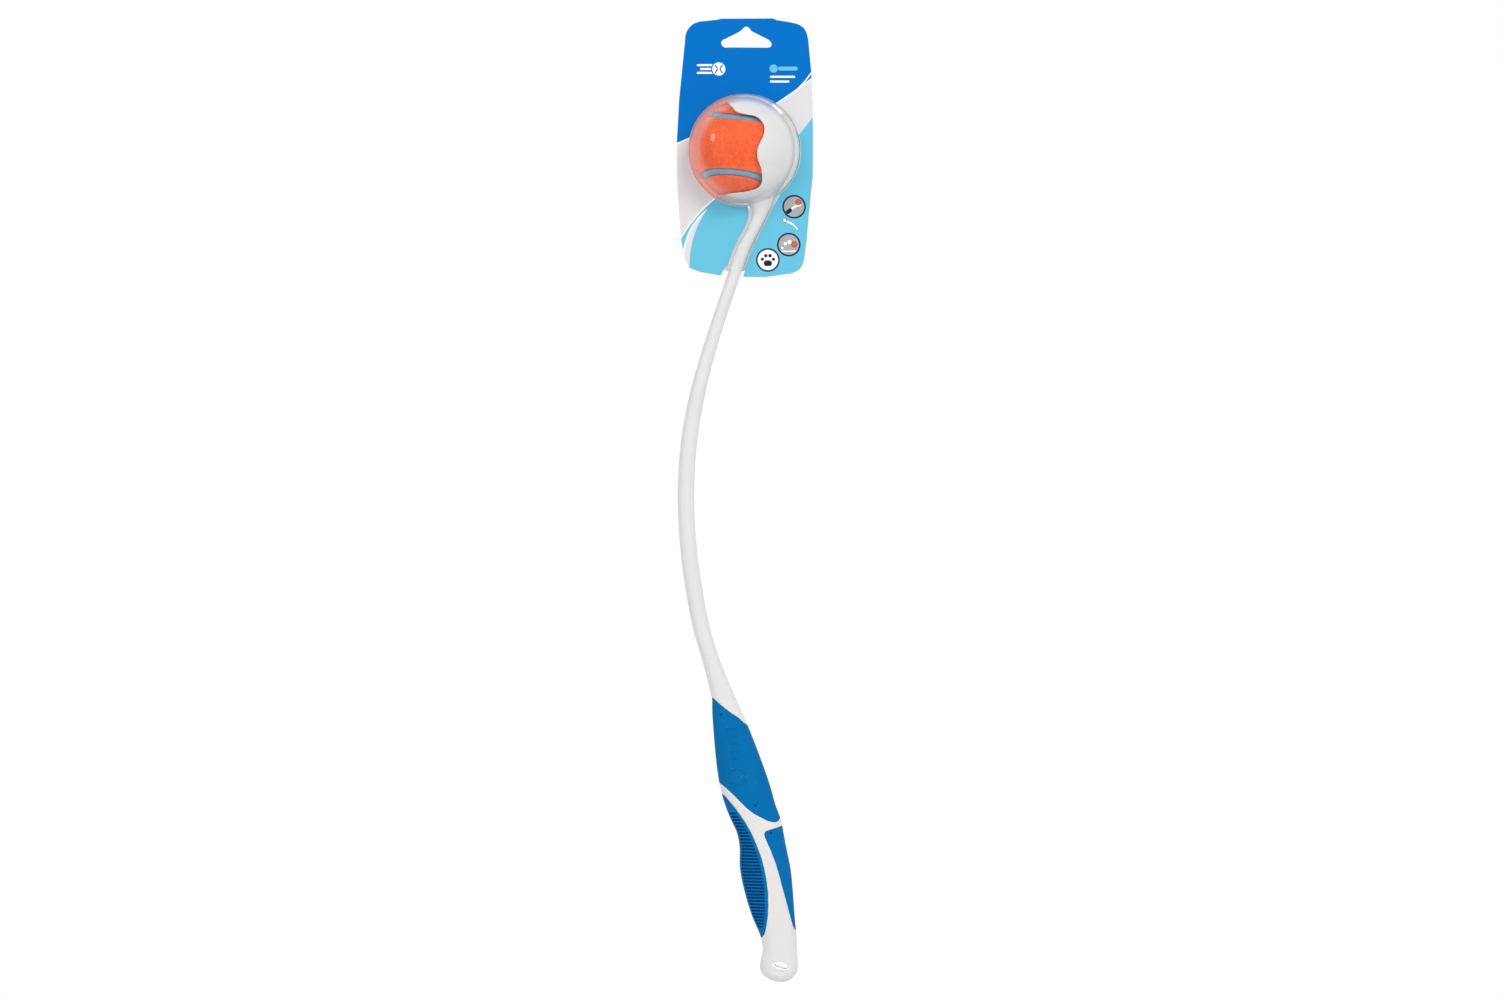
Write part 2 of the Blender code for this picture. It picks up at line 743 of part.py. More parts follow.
def build_card(name, side, parent, material):
    """One leaf of the hang card, with its window, its hang hole and a pocket for the flange."""
    inner_face = SHEET_GAP / 2
    pocket_face = inner_face + SHELL_THICKNESS + SHEET_GAP
    outer_face = pocket_face + CARD_THICKNESS
    outline = outline_through(on_card, CARD_SHARES)
    leaf = prism(name, outline, side * outer_face, side * inner_face, material)
    hole = outline_through(in_hang_hole, HANG_HOLE_SHARES)
    combine(leaf, tool(prism(f"{name}_hang_hole", hole, -OVERRUN, OVERRUN)), "DIFFERENCE")
    radius, grow = DOME_RADIUS + FIT_GAP, CHANNEL_ROOM + FIT_GAP
    window = keyhole(f"{name}_window", radius, grow, CARD_FOOT_Z - OVERRUN, -OVERRUN, OVERRUN)
    combine(leaf, tool(window), "DIFFERENCE")
    radius, grow = radius + FLANGE_WIDTH, grow + FLANGE_WIDTH
    foot_z = CHANNEL_END_Z - SHEET_GAP
    pocket = keyhole(f"{name}_pocket", radius, grow, foot_z, side * pocket_face, -side * OVERRUN)
    combine(leaf, tool(pocket), "DIFFERENCE")
    leaf.parent = parent


def pivot_at(name, place):
    """An empty that carries the pieces of one moving body."""
    pivot = bpy.data.objects.new(name, None)
    pivot.location = place
    bpy.context.scene.collection.objects.link(pivot)
    return pivot


def main():
    clear_scene()
    white = plastic("white_plastic", (0.80, 0.80, 0.79), 0.45)
    blue = plastic("blue_grip", (0.0, 0.15, 0.40), 0.6)
    felt = plastic("orange_felt", (0.86, 0.12, 0.04), 0.95)
    seam = plastic("seam_rubber", (0.20, 0.30, 0.38), 0.7)
    rubber = plastic("core_rubber", (0.05, 0.05, 0.05), 0.8)
    printed = plastic("printed_card", (0.02, 0.20, 0.55), 0.35)
    clear = clear_plastic("clear_shell", (0.95, 0.97, 1.0), 0.05)

    pockets = build_grips(blue)
    build_arm(white, pockets)

    in_cup = pivot_at("ball_pivot", BALL_CENTRE)
    build_seam(in_cup, seam)
    build_felt("felt_panel_a", math.pi * 3 / 4, FELT_SIDE, in_cup, felt)
    build_felt("felt_panel_b", math.pi / 4, -FELT_SIDE, in_cup, felt)
    build_core_half("core_half_a", 1, in_cup, rubber)
    build_core_half("core_half_b", -1, in_cup, rubber)

    for word, side in (("front", FRONT), ("back", BACK)):
        pack = pivot_at(f"{word}_pack", (0, 0, 0))
        build_card(f"{word}_card", side, pack, printed)
        build_shell(f"{word}_blister", side, pack, clear)


main()
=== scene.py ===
"""Looks of a hand-held ball thrower for dogs, hanging on its card with clear shells over the ball.

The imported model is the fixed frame. Every piece is built again here at a finer scale, in the same
place and from the same sizes: the white moulding, its three soft grips, the felt ball in its cup, the
two printed leaves of the card and the two clear shells.

Metres. Seen from the front, +X is to the right, +Z is up and +Y points away from the viewer.
"""

import logging
import math
from collections.abc import Callable, Iterator, Sequence
from contextlib import contextmanager
from dataclasses import dataclass
from enum import Enum
from functools import partial, reduce

import bmesh
import bpy
import numpy as np
from mathutils import Euler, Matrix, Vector, noise


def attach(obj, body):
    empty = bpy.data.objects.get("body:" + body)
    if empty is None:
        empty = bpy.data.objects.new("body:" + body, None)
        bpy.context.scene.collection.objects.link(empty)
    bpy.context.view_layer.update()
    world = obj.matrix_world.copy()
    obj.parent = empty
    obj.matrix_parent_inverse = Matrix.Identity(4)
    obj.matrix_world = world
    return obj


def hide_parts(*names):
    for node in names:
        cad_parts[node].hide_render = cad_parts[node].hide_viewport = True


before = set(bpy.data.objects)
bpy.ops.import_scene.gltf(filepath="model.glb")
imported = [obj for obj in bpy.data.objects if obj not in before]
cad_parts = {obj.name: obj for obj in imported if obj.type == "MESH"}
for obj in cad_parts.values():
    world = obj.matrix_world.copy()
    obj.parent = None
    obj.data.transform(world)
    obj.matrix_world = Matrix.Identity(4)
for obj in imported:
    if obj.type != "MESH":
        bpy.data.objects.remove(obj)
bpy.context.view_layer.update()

LOG = logging.getLogger("thrower")

Pair = tuple[float, float]
Triple = tuple[float, float, float]
Table = tuple[tuple[float, ...], ...]
Names = tuple[str, ...]
Object = bpy.types.Object
Material = bpy.types.Material
Node = bpy.types.Node
Tree = bpy.types.NodeTree
Socket = bpy.types.NodeSocket
Outputs = bpy.types.bpy_prop_collection
Value = float | tuple | Socket
Feeds = dict[str | int, Value]

DEPTH = "depth"
WHITE = (1.0, 1.0, 1.0)
# A long straight run bends only this far from its ends, and is long where that is under this share.
BEND_ROOM = 0.003
LONG_RUN_SHARE = 0.4
# The least cosine of half a corner's turn that a drawn-in outline follows.
SHARPEST_CORNER = 0.5
# Closer points are joined, and shares that agree to this many digits are one place.
WELD = 1e-7
PLACE_DIGITS = 6


class Join(Enum):
    """How one solid acts on another."""

    UNION = "UNION"
    CUT = "DIFFERENCE"
    TRIM = "INTERSECT"


class Side(Enum):
    """The half of the pack, as the way along Y that its outside faces."""

    FRONT = -1
    BACK = 1

    @property
    def word(self) -> str:
        """The side's name in small letters."""
        return self.name.lower()


# Curves through tables


def slope(rows: Sequence[Sequence[float]], index: int, column: int) -> float:
    """Slope of a column at a row, from the parabola through it and its two neighbours.

    Args:
        rows: The table, with the place in column 0.
        index: The row.
        column: The column.

    Returns:
        The slope.
    """
    before, here, after = rows[max(index - 1, 0)], rows[index], rows[min(index + 1, len(rows) - 1)]
    if before is here or after is here:
        return (after[column] - before[column]) / (after[0] - before[0])
    step_in, step_out = here[0] - before[0], after[0] - here[0]
    slope_in = (here[column] - before[column]) / step_in
    slope_out = (after[column] - here[column]) / step_out
    return (slope_in * step_out + slope_out * step_in) / (step_in + step_out)


def read_table(rows: Sequence[Sequence[float]], place: float) -> list[float]:
    """Every column of a table at one place, on a smooth curve through its rows.

    Args:
        rows: The table, with the place in column 0.
        place: The place to read at.

    Returns:
        The values of the other columns.
    """
    index = 0
    while index < len(rows) - 2 and rows[index + 1][0] < place:
        index += 1
    here, after = rows[index], rows[index + 1]
    step = after[0] - here[0]
    at = (place - here[0]) / step
    rise = at * at * (3 - 2 * at)
    values = []
    for column in range(1, len(here)):
        leaving = at * (1 - at) ** 2 * step * slope(rows, index, column)
        arriving = at * at * (at - 1) * step * slope(rows, index + 1, column)
        values.append(here[column] + rise * (after[column] - here[column]) + leaving + arriving)
    return values


def smooth_outline(points: Sequence[Pair], spacing: float, closed: bool = False) -> list[Pair]:
    """A curve through points, which stays straight along its long runs.

    Args:
        points: The points that the curve goes through.
        spacing: The longest step along the curve.
        closed: Whether the curve goes on from the last point to the first.

    Returns:
        The points of the curve, without the first one again where it is closed.
    """
    ends = [*points, points[0]] if closed else list(points)
    spaced = [Vector(ends[0])]
    for before, after in zip(ends, ends[1:]):
        here, there = Vector(before), Vector(after)
        bend = BEND_ROOM / max((there - here).length, BEND_ROOM)
        if bend < LONG_RUN_SHARE:
            spaced += [here.lerp(there, bend), here.lerp(there, 1 - bend)]
        spaced.append(there)
    first, last = 0, len(spaced) - 1
    if closed:
        spaced = [*spaced[-3:-1], *spaced, *spaced[1:3]]
        first, last = 2, last + 2
    rows, run = [], 0.0
    for index, point in enumerate(spaced):
        if index:
            run += math.sqrt((point - spaced[index - 1]).length)
        rows.append((run, *point))
    fine: list[Pair] = []
    for index in range(first, last):
        (start, *_), (stop, *_) = rows[index], rows[index + 1]
        count = max(1, math.ceil((stop - start) ** 2 / spacing))
        fine += [tuple(read_table(rows, start + (stop - start) * part / count)) for part in range(count)]
    return fine if closed else [*fine, tuple(spaced[-1])]


def inset(outline: Sequence[Pair], distance: float) -> list[Pair]:
    """A closed outline drawn in all round.

    Args:
        outline: The outline's points.
        distance: How far it is drawn in.

    Returns:
        The smaller outline.
    """
    points = [Vector(point) for point in outline]
    ahead = points[1:] + points[:1]
    turn = math.copysign(1, sum(here.x * after.y - after.x * here.y for here, after in zip(points, ahead)))
    moved = []
    for before, here, after in zip(points[-1:] + points[:-1], points, ahead):
        way_in, way_out = (here - before).normalized(), (after - here).normalized()
        side_in = Vector((-way_in.y, way_in.x)) * turn
        side_out = Vector((-way_out.y, way_out.x)) * turn
        side = (side_in + side_out).normalized()
        moved.append(tuple(here + side * distance / max(side.dot(side_in), SHARPEST_CORNER)))
    return moved


def circle(centre: Pair, radius: float, sides: int) -> list[Pair]:
    """Points round a circle, as many as it has sides."""
    angles = [math.tau * side / sides for side in range(sides)]
    return [(centre[0] + radius * math.cos(angle), centre[1] + radius * math.sin(angle)) for angle in angles]


# Solids


@contextmanager
def opened(mesh: bpy.types.Mesh) -> Iterator[bmesh.types.BMesh]:
    """Open a mesh for editing, and write it back afterwards.

    Args:
        mesh: The mesh.

    Yields:
        The mesh in its editable form.
    """
    work = bmesh.new()
    work.from_mesh(mesh)
    yield work
    work.to_mesh(mesh)
    work.free()


def solid(name: str, points: Sequence[Triple], faces: Sequence[Sequence[int]]) -> Object:
    """A scene object from points and faces, with its faces turned outwards.

    Args:
        name: The object's name.
        points: Its points.
        faces: Its faces, as indices of points.

    Returns:
        The object.
    """
    mesh = bpy.data.meshes.new(name)
    mesh.from_pydata([tuple(point) for point in points], [], [tuple(face) for face in faces])
    with opened(mesh) as work:
        bmesh.ops.remove_doubles(work, verts=work.verts, dist=WELD)
        bmesh.ops.recalc_face_normals(work, faces=work.faces)
        if work.calc_volume(signed=True) < 0:
            bmesh.ops.reverse_faces(work, faces=work.faces)
    obj = bpy.data.objects.new(name, mesh)
    bpy.context.scene.collection.objects.link(obj)
    return obj


def grid_faces(rows: int, columns: int, closed_rows: bool, closed_columns: bool) -> list[tuple[int, ...]]:
    """Four-cornered faces over rows and columns of points.

    Args:
        rows: How many rows there are.
        columns: How many points a row has.
        closed_rows: Whether the last row joins the first.
        closed_columns: Whether a row's last point joins its first.

    Returns:
        The faces.
    """
    faces = []
    for row in range(rows if closed_rows else rows - 1):
        for column in range(columns if closed_columns else columns - 1):
            here, after = row * columns, (row + 1) % rows * columns
            beside = (column + 1) % columns
            faces.append((here + column, here + beside, after + beside, after + column))
    return faces


def loft(name: str, rings: Sequence[Sequence[Triple]]) -> Object:
    """A closed solid over rings of points, with a flat cap at each end.

    Args:
        name: The object's name.
        rings: The rings, each with as many points as the others.

    Returns:
        The object.
    """
    count = len(rings[0])
    points = [point for ring in rings for point in ring]
    caps = [tuple(range(count)), tuple(range(len(points) - count, len(points)))]
    return solid(name, points, grid_faces(len(rings), count, False, True) + caps)


def prisms(name: str, outlines: Sequence[Sequence[Pair]], y_from: float, y_to: float) -> Object:
    """Flat outlines drawn through from one depth to another, as one object.

    Args:
        name: The object's name.
        outlines: The outlines, each of (x, z) points.
        y_from: Where they start.
        y_to: Where they end.

    Returns:
        The object.
    """
    points: list[Triple] = []
    faces: list[tuple[int, ...]] = []
    for outline in outlines:
        start, count = len(points), len(outline)
        points += [(x, y, z) for y in (y_from, y_to) for x, z in outline]
        own = grid_faces(2, count, False, True) + [tuple(range(count)), tuple(range(count, 2 * count))]
        faces += [tuple(start + corner for corner in face) for face in own]
    return solid(name, points, faces)


def prism(name: str, outline: Sequence[Pair], y_from: float, y_to: float) -> Object:
    """A flat outline of (x, z) points drawn through from one depth to another."""
    return prisms(name, [outline], y_from, y_to)


def turned(name: str, profile: Sequence[Pair], centre: Vector, segments: int) -> Object:
    """A closed solid made by turning a profile about a line along Y.

    Args:
        name: The object's name.
        profile: Its (radius, y) points, which begin and end on the line.
        centre: A point of the line.
        segments: How many facets it has round.

    Returns:
        The object.
    """
    points = []
    for radius, y in profile:
        points += [(x, y, z) for x, z in circle((centre.x, centre.z), radius, segments)]
    return solid(name, points, grid_faces(len(profile), segments, False, True))


def sphere(name: str, centre: Vector, radius: float, segments: int = 160) -> Object:
    """A closed sphere about a point.

    Args:
        name: The object's name.
        centre: The point.
        radius: Its radius.
        segments: How many facets it has round.

    Returns:
        The object.
    """
    rings = segments // 2
    angles = [math.pi * ring / rings - math.pi / 2 for ring in range(rings + 1)]
    profile = [(max(0.0, radius * math.cos(angle)), radius * math.sin(angle)) for angle in angles]
    return turned(name, profile, centre, segments)


def settle(obj: Object) -> None:
    """Apply every modifier that an object has.

    Args:
        obj: The object.
    """
    bpy.context.view_layer.update()
    graph = bpy.context.evaluated_depsgraph_get()
    mesh = bpy.data.meshes.new_from_object(obj.evaluated_get(graph), depsgraph=graph)
    old = obj.data
    obj.modifiers.clear()
    obj.data = mesh
    bpy.data.meshes.remove(old)
    mesh.name = obj.name


def combine(obj: Object, other: Object, join: Join) -> Object:
    """Join, cut or trim a solid by another one, which is used up.

    Args:
        obj: The solid that stays.
        other: The solid that acts on it.
        join: How it acts.

    Returns:
        The solid that stays.
    """
    modifier = obj.modifiers.new(join.name.lower(), "BOOLEAN")
    modifier.operation = join.value
    modifier.solver = "EXACT"
    modifier.object = other
    settle(obj)
    bpy.data.objects.remove(other)
    return obj


def soften(obj: Object, voxel: float, rounds: int, triangles: int) -> Object:
    """Give a solid one even skin, round its edges and thin out its flat parts.

    Args:
        obj: The solid.
        voxel: The size of the skin's facets.
        rounds: How many times the skin is smoothed, which sets how round the edges get.
        triangles: About how many triangles are kept.

    Returns:
        The same object.
    """
    skin = obj.modifiers.new("skin", "REMESH")
    skin.mode = "VOXEL"
    skin.voxel_size = voxel
    smooth = obj.modifiers.new("smooth", "SMOOTH")
    smooth.factor = 0.5
    smooth.iterations = rounds
    settle(obj)
    found = 2 * len(obj.data.polygons)
    if found > triangles:
        thin = obj.modifiers.new("thin", "DECIMATE")
        thin.ratio = triangles / found
        settle(obj)
    obj.data.shade_smooth()
    return obj


# Shader graphs


class Graph:
    """A node tree that nodes are added to with their values and links at once."""

    def __init__(self, tree: Tree) -> None:
        """Wrap a node tree."""
        self.tree = tree

    def add(self, kind: str, feeds: Feeds | None = None, **settings: object) -> Node:
        """Add a node.

        Args:
            kind: The node's type without its leading ShaderNode.
            feeds: A value or a link for each named input.
            **settings: The node's own settings.

        Returns:
            The node.
        """
        node = self.tree.nodes.new(kind if kind.startswith("Node") else f"ShaderNode{kind}")
        for name, setting in settings.items():
            setattr(node, name, setting)
        self.feed(node, feeds or {})
        return node

    def feed(self, node: Node, feeds: Feeds) -> None:
        """Link or set a node's inputs.

        Args:
            node: The node.
            feeds: A link or a value for each named input, of three numbers for a colour.
        """
        for key, value in feeds.items():
            socket = node.inputs[key]
            if isinstance(value, Socket):
                self.tree.links.new(value, socket)
            else:
                socket.default_value = (*value, 1) if socket.type == "RGBA" else value

    def math(self, operation: str, *values: Value) -> Socket:
        """The result of a Math node."""
        return self.add("Math", dict(enumerate(values)), operation=operation).outputs[0]

    def times(self, first: Value, second: Value) -> Socket:
        """Two values multiplied."""
        return self.math("MULTIPLY", first, second)

    def vector(self, operation: str, output: str, *values: Value) -> Socket:
        """One output of a Vector Math node."""
        return self.add("VectorMath", dict(enumerate(values)), operation=operation).outputs[output]

    def smoothstep(self, value: Value, low: Value, high: Value) -> Socket:
        """A value that goes smoothly from 0 at one limit to 1 at the other."""
        feeds = {"Value": value, "From Min": low, "From Max": high, "To Min": 0.0, "To Max": 1.0}
        return self.add("MapRange", feeds, interpolation_type="SMOOTHSTEP").outputs[0]

    def inverse(self, mask: Value) -> Socket:
        """1 less a mask."""
        return self.math("SUBTRACT", 1.0, mask)

    def mix(self, share: Value, first: Value, second: Value) -> Socket:
        """A colour between two, by a share."""
        return self.add("Mix", {"Factor": share, 6: first, 7: second}, data_type="RGBA").outputs[2]

    def blend(self, share: Value, first: Socket, second: Socket) -> Socket:
        """A shader between two, by a share."""
        return self.add("MixShader", {0: share, 1: first, 2: second}).outputs[0]

    def parts(self, vector: Socket) -> Outputs:
        """The X, Y and Z of a vector."""
        return self.add("SeparateXYZ", {0: vector}).outputs

    def any_ray(self, *kinds: str) -> Socket:
        """1 for rays of any of the named kinds, and 0 for the others."""
        rays = self.add("LightPath").outputs
        return reduce(partial(self.math, "MAXIMUM"), [rays[f"Is {kind} Ray"] for kind in kinds])

    def noise(self, place: Value, size: Value, detail: float) -> Socket:
        """Cloudy noise whose clouds are about a size across."""
        scale = self.math("DIVIDE", 1.0, size) if isinstance(size, Socket) else 1 / size
        return self.add("TexNoise", {"Vector": place, "Scale": scale, "Detail": detail}).outputs["Fac"]


class EffectGroup:
    """A node group that several finishes share, built once and placed in each."""

    made: dict[str, Tree] = {}

    def __init__(self, name: str, places: Names, values: dict[str, float], outputs: Names) -> None:
        """Start a group.

        Args:
            name: The group's name.
            places: The names of the inputs that are places.
            values: The other inputs, with the usual value of each.
            outputs: The names of the outputs, which are all values.
        """
        self.tree = bpy.data.node_groups.new(name, "ShaderNodeTree")
        for label in places:
            self.tree.interface.new_socket(label, in_out="INPUT", socket_type="NodeSocketVector")
        for label, value in values.items():
            socket = self.tree.interface.new_socket(label, in_out="INPUT", socket_type="NodeSocketFloat")
            socket.default_value = value
        for label in outputs:
            self.tree.interface.new_socket(label, in_out="OUTPUT", socket_type="NodeSocketFloat")
        self.graph = Graph(self.tree)
        self.source = self.graph.add("NodeGroupInput")
        self.sink = self.graph.add("NodeGroupOutput")
        EffectGroup.made[name] = self.tree

    def take(self, label: str) -> Socket:
        """One of the group's inputs, as seen from inside."""
        return self.source.outputs[label]

    def give(self, label: str, value: Socket) -> None:
        """Send a value to one of the group's outputs."""
        self.graph.feed(self.sink, {label: value})


def mould_grain() -> Tree:
    """Fine grain of a moulded surface, with slow drifts of tone and of roughness across it."""
    values = {"Grain Size": 0.0004, "Drift Size": 0.03, "Rough Low": 0.4, "Rough High": 0.5}
    group = EffectGroup("mould_grain", ("Vector",), values, ("Height", "Drift", "Roughness"))
    graph, place = group.graph, group.take("Vector")
    grain_share = 0.4
    grain = graph.noise(place, group.take("Grain Size"), 2.0)
    drift = graph.noise(place, group.take("Drift Size"), 3.0)
    from_grain = graph.times(grain, grain_share)
    both = graph.math("ADD", from_grain, graph.times(drift, 1 - grain_share))
    span = graph.math("SUBTRACT", group.take("Rough High"), group.take("Rough Low"))
    group.give("Height", grain)
    group.give("Drift", drift)
    group.give("Roughness", graph.math("MULTIPLY_ADD", both, span, group.take("Rough Low")))
    return group.tree


def settled_dust() -> Tree:
    """Sparse specks of dust and lint, as a mask, which gather in patches."""
    patch_size, patch_share = 0.02, 0.35
    bare_level, level_span, speck_edge = 1.02, 0.3, 0.06
    group = EffectGroup("settled_dust", ("Vector",), {"Speck Size": 0.0012, "Amount": 0.3}, ("Mask",))
    graph, place = group.graph, group.take("Vector")
    specks = graph.noise(place, group.take("Speck Size"), 1.0)
    patches = graph.noise(place, patch_size, 2.0)
    both = graph.math("ADD", specks, graph.times(patches, patch_share))
    level = graph.math("SUBTRACT", bare_level, graph.times(group.take("Amount"), level_span))
    high = graph.math("ADD", level, speck_edge)
    group.give("Mask", graph.smoothstep(both, level, high))
    return group.tree


def print_disc() -> Tree:
    """A printed disc and a line inside its edge, as two masks."""
    values = {"Radius": 0.008, "Line": 0.0004, "Softness": 0.00008}
    group = EffectGroup("print_disc", ("Place", "Centre"), values, ("Disc", "Rim"))
    graph = group.graph
    away = graph.vector("DISTANCE", "Value", group.take("Place"), group.take("Centre"))
    inside = graph.math("SUBTRACT", group.take("Radius"), away)
    softness = group.take("Softness")
    low = graph.times(softness, -1.0)
    disc = graph.smoothstep(inside, low, softness)
    past_line = graph.smoothstep(graph.math("SUBTRACT", inside, group.take("Line")), low, softness)
    group.give("Disc", disc)
    group.give("Rim", graph.math("SUBTRACT", disc, past_line))
    return group.tree


def print_and_glint_stroke() -> Tree:
    """A stroke with round ends, as a mask, for the printed marks and for the painted highlight streak on the
    dome.
    """
    values = {"Radius": 0.001, "Softness": 0.00008}
    group = EffectGroup("print_and_glint_stroke", ("Place", "Start", "End"), values, ("Mask",))
    graph = group.graph
    start, softness = group.take("Start"), group.take("Softness")
    reach = graph.vector("SUBTRACT", "Vector", group.take("Place"), start)
    run = graph.vector("SUBTRACT", "Vector", group.take("End"), start)
    along = graph.vector("DOT_PRODUCT", "Value", reach, run)
    share = graph.math("DIVIDE", along, graph.vector("DOT_PRODUCT", "Value", run, run))
    bounded = graph.add("Clamp", {"Value": share}).outputs[0]
    nearest = graph.add("VectorMath", {0: run, "Scale": bounded}, operation="SCALE").outputs["Vector"]
    away = graph.vector("DISTANCE", "Value", reach, nearest)
    inside = graph.math("SUBTRACT", group.take("Radius"), away)
    group.give("Mask", graph.smoothstep(inside, graph.times(softness, -1.0), softness))
    return group.tree


class Effect(Enum):
    """The shared effects, by the function that builds each."""

    GRAIN = (mould_grain,)
    DUST = (settled_dust,)
    DISC = (print_disc,)
    STROKE = (print_and_glint_stroke,)

    def place(self, graph: Graph, feeds: Feeds) -> Outputs:
        """Put the effect into a material with its own values."""
        tree = EffectGroup.made.get(self.value[0].__name__) or self.value[0]()
        return graph.add("Group", feeds, node_tree=tree).outputs


@dataclass(frozen=True)
class Grain:
    """A surface's fine grain and slow drift: the size of each, and the limits of the roughness."""

    size: float
    drift_size: float
    rough_low: float
    rough_high: float

    def place(self, graph: Graph, place: Socket) -> Outputs:
        """Put the grain effect into a material with these values.

        Args:
            graph: The material's graph.
            place: Where a point is on the piece.

        Returns:
            The effect's outputs.
        """
        feeds = {"Vector": place, "Grain Size": self.size, "Drift Size": self.drift_size}
        feeds |= {"Rough Low": self.rough_low, "Rough High": self.rough_high}
        return Effect.GRAIN.place(graph, feeds)


def start_material(name: str) -> tuple[Material, Graph, Node]:
    """Start a material.

    Args:
        name: Its name.

    Returns:
        The material, its graph and its Principled shader.
    """
    material = bpy.data.materials.new(name)
    material.use_nodes = True
    return material, Graph(material.node_tree), material.node_tree.nodes["Principled BSDF"]


def own_place(graph: Graph) -> Socket:
    """Where a point is on the piece, in metres."""
    return graph.add("TexCoord").outputs["Object"]


def own_depth(graph: Graph) -> Socket:
    """How far a point of the handle is below its skin, in metres."""
    return graph.add("Attribute", attribute_name=DEPTH).outputs["Fac"]


def edge_on(graph: Graph) -> Socket:
    """How far a surface is turned from the viewer, from 0 straight on to 1 edge on."""
    return graph.add("LayerWeight").outputs["Facing"]


def bump(graph: Graph, height: Socket, distance: float, strength: float = 1.0) -> Socket:
    """The normal of a surface raised by a height."""
    feeds = {"Height": height, "Distance": distance, "Strength": strength}
    return graph.add("Bump", feeds).outputs["Normal"]


# Finishes


@dataclass(frozen=True)
class MouldedPlastic:
    """Satin white polypropylene, with its flash line where the two halves of the mould met, a painted
    highlight along the rounded lips round the grips and painted shade where it turns edge on.
    """

    colour: Triple = (0.735, 0.730, 0.722)
    warm_colour: Triple = (0.705, 0.696, 0.682)
    # Painted highlight: the colour given to the plastic wherever it lies below the handle's skin, as on the
    # rounded lips round the grips.
    lip_highlight_colour: Triple = (0.930, 0.945, 0.950)
    # Painted shade: a darker, warmer colour where the surface turns edge on to the viewer, with the span and
    # strength of it.
    edge_shade_colour: Triple = (0.560, 0.535, 0.505)
    edge_shade_span: Pair = (0.55, 1.00)
    edge_shade_share: float = 0.7
    # Depths below the skin over which the painted lip highlight comes in.
    lip_highlight_depths: Pair = (0.00003, 0.00020)
    grain: Grain = Grain(0.0005, 0.045, 0.34, 0.46)
    grain_height: float = 0.000012
    flash_half_width: float = 0.00022
    flash_height: float = 0.00010
    shine: float = 0.45

    def material(self, name: str) -> Material:
        """Build the material.

        Args:
            name: Its name.

        Returns:
            The material.
        """
        material, graph, shader = start_material(name)
        place = own_place(graph)
        grain = self.grain.place(graph, place)
        colour = graph.mix(grain["Drift"], self.colour, self.warm_colour)
        # Painted highlight along the rounded lips round the grips, lighter wherever the plastic lies below
        # the handle's skin.
        lip_highlight_mask = graph.smoothstep(own_depth(graph), *self.lip_highlight_depths)
        # Painted shade towards the silhouettes, where the surface turns edge on.
        edge_shade_mask = graph.smoothstep(edge_on(graph), *self.edge_shade_span)
        colour = graph.mix(graph.times(edge_shade_mask, self.edge_shade_share), colour, self.edge_shade_colour)
        colour = graph.mix(lip_highlight_mask, colour, self.lip_highlight_colour)
        across = graph.math("ABSOLUTE", graph.parts(place)["Y"])
        flash = graph.smoothstep(across, self.flash_half_width, 0.0)
        raised = graph.times(flash, self.flash_height / self.grain_height)
        normal = bump(graph, graph.math("ADD", grain["Height"], raised), self.grain_height)
        feeds = {"Base Color": colour, "Roughness": grain["Roughness"], "Normal": normal}
        graph.feed(shader, feeds | {"Specular IOR Level": self.shine})
        return material


@dataclass(frozen=True)
class SoftRubber:
    """Blue soft-touch rubber, matte and slightly velvety, with painted shade in its grooves and painted shade
    on its raised emboss.
    """

    colour: Triple = (0.000, 0.132, 0.365)
    worn_colour: Triple = (0.000, 0.152, 0.400)
    # Painted shade in the grooves, dimples and sunken edges, by depth below the handle's skin.
    groove_shade_colour: Triple = (0.000, 0.052, 0.195)
    # Painted shade on the raised emboss.
    proud_shade_colour: Triple = (0.004, 0.110, 0.270)
    dust_colour: Triple = (0.20, 0.30, 0.42)
    # Depths over which the painted groove shade comes in.
    groove_shade_depths: Pair = (0.00022, 0.00060)
    # Heights over which the painted emboss shade comes in, and how much of it.
    proud_shade_heights: Pair = (0.00008, 0.00025)
    proud_shade_share: float = 0.25
    grain: Grain = Grain(0.00035, 0.02, 0.60, 0.74)
    grain_height: float = 0.000025
    dust_amount: float = 0.35
    dust_share: float = 0.35
    shine: float = 0.08

    def material(self, name: str) -> Material:
        """Build the material.

        Args:
            name: Its name.

        Returns:
            The material.
        """
        material, graph, shader = start_material(name)
        place = own_place(graph)
        grain = self.grain.place(graph, place)
        dust = Effect.DUST.place(graph, {"Vector": place, "Amount": self.dust_amount})["Mask"]
        colour = graph.mix(grain["Drift"], self.colour, self.worn_colour)
        colour = graph.mix(graph.times(dust, self.dust_share), colour, self.dust_colour)
        depth = own_depth(graph)
        # Painted shade on the raised emboss, so that it stands out as its shading would show it.
        proud = graph.smoothstep(graph.times(depth, -1.0), *self.proud_shade_heights)
        colour = graph.mix(graph.times(proud, self.proud_shade_share), colour, self.proud_shade_colour)
        # Painted shade in the rib grooves, the dimples and the grips' sunken edges below the skin.
        colour = graph.mix(graph.smoothstep(depth, *self.groove_shade_depths), colour, self.groove_shade_colour)
        normal = bump(graph, grain["Height"], self.grain_height)
        feeds = {"Base Color": colour, "Roughness": grain["Roughness"], "Normal": normal}
        graph.feed(shader, feeds | {"Specular IOR Level": self.shine})
        return material


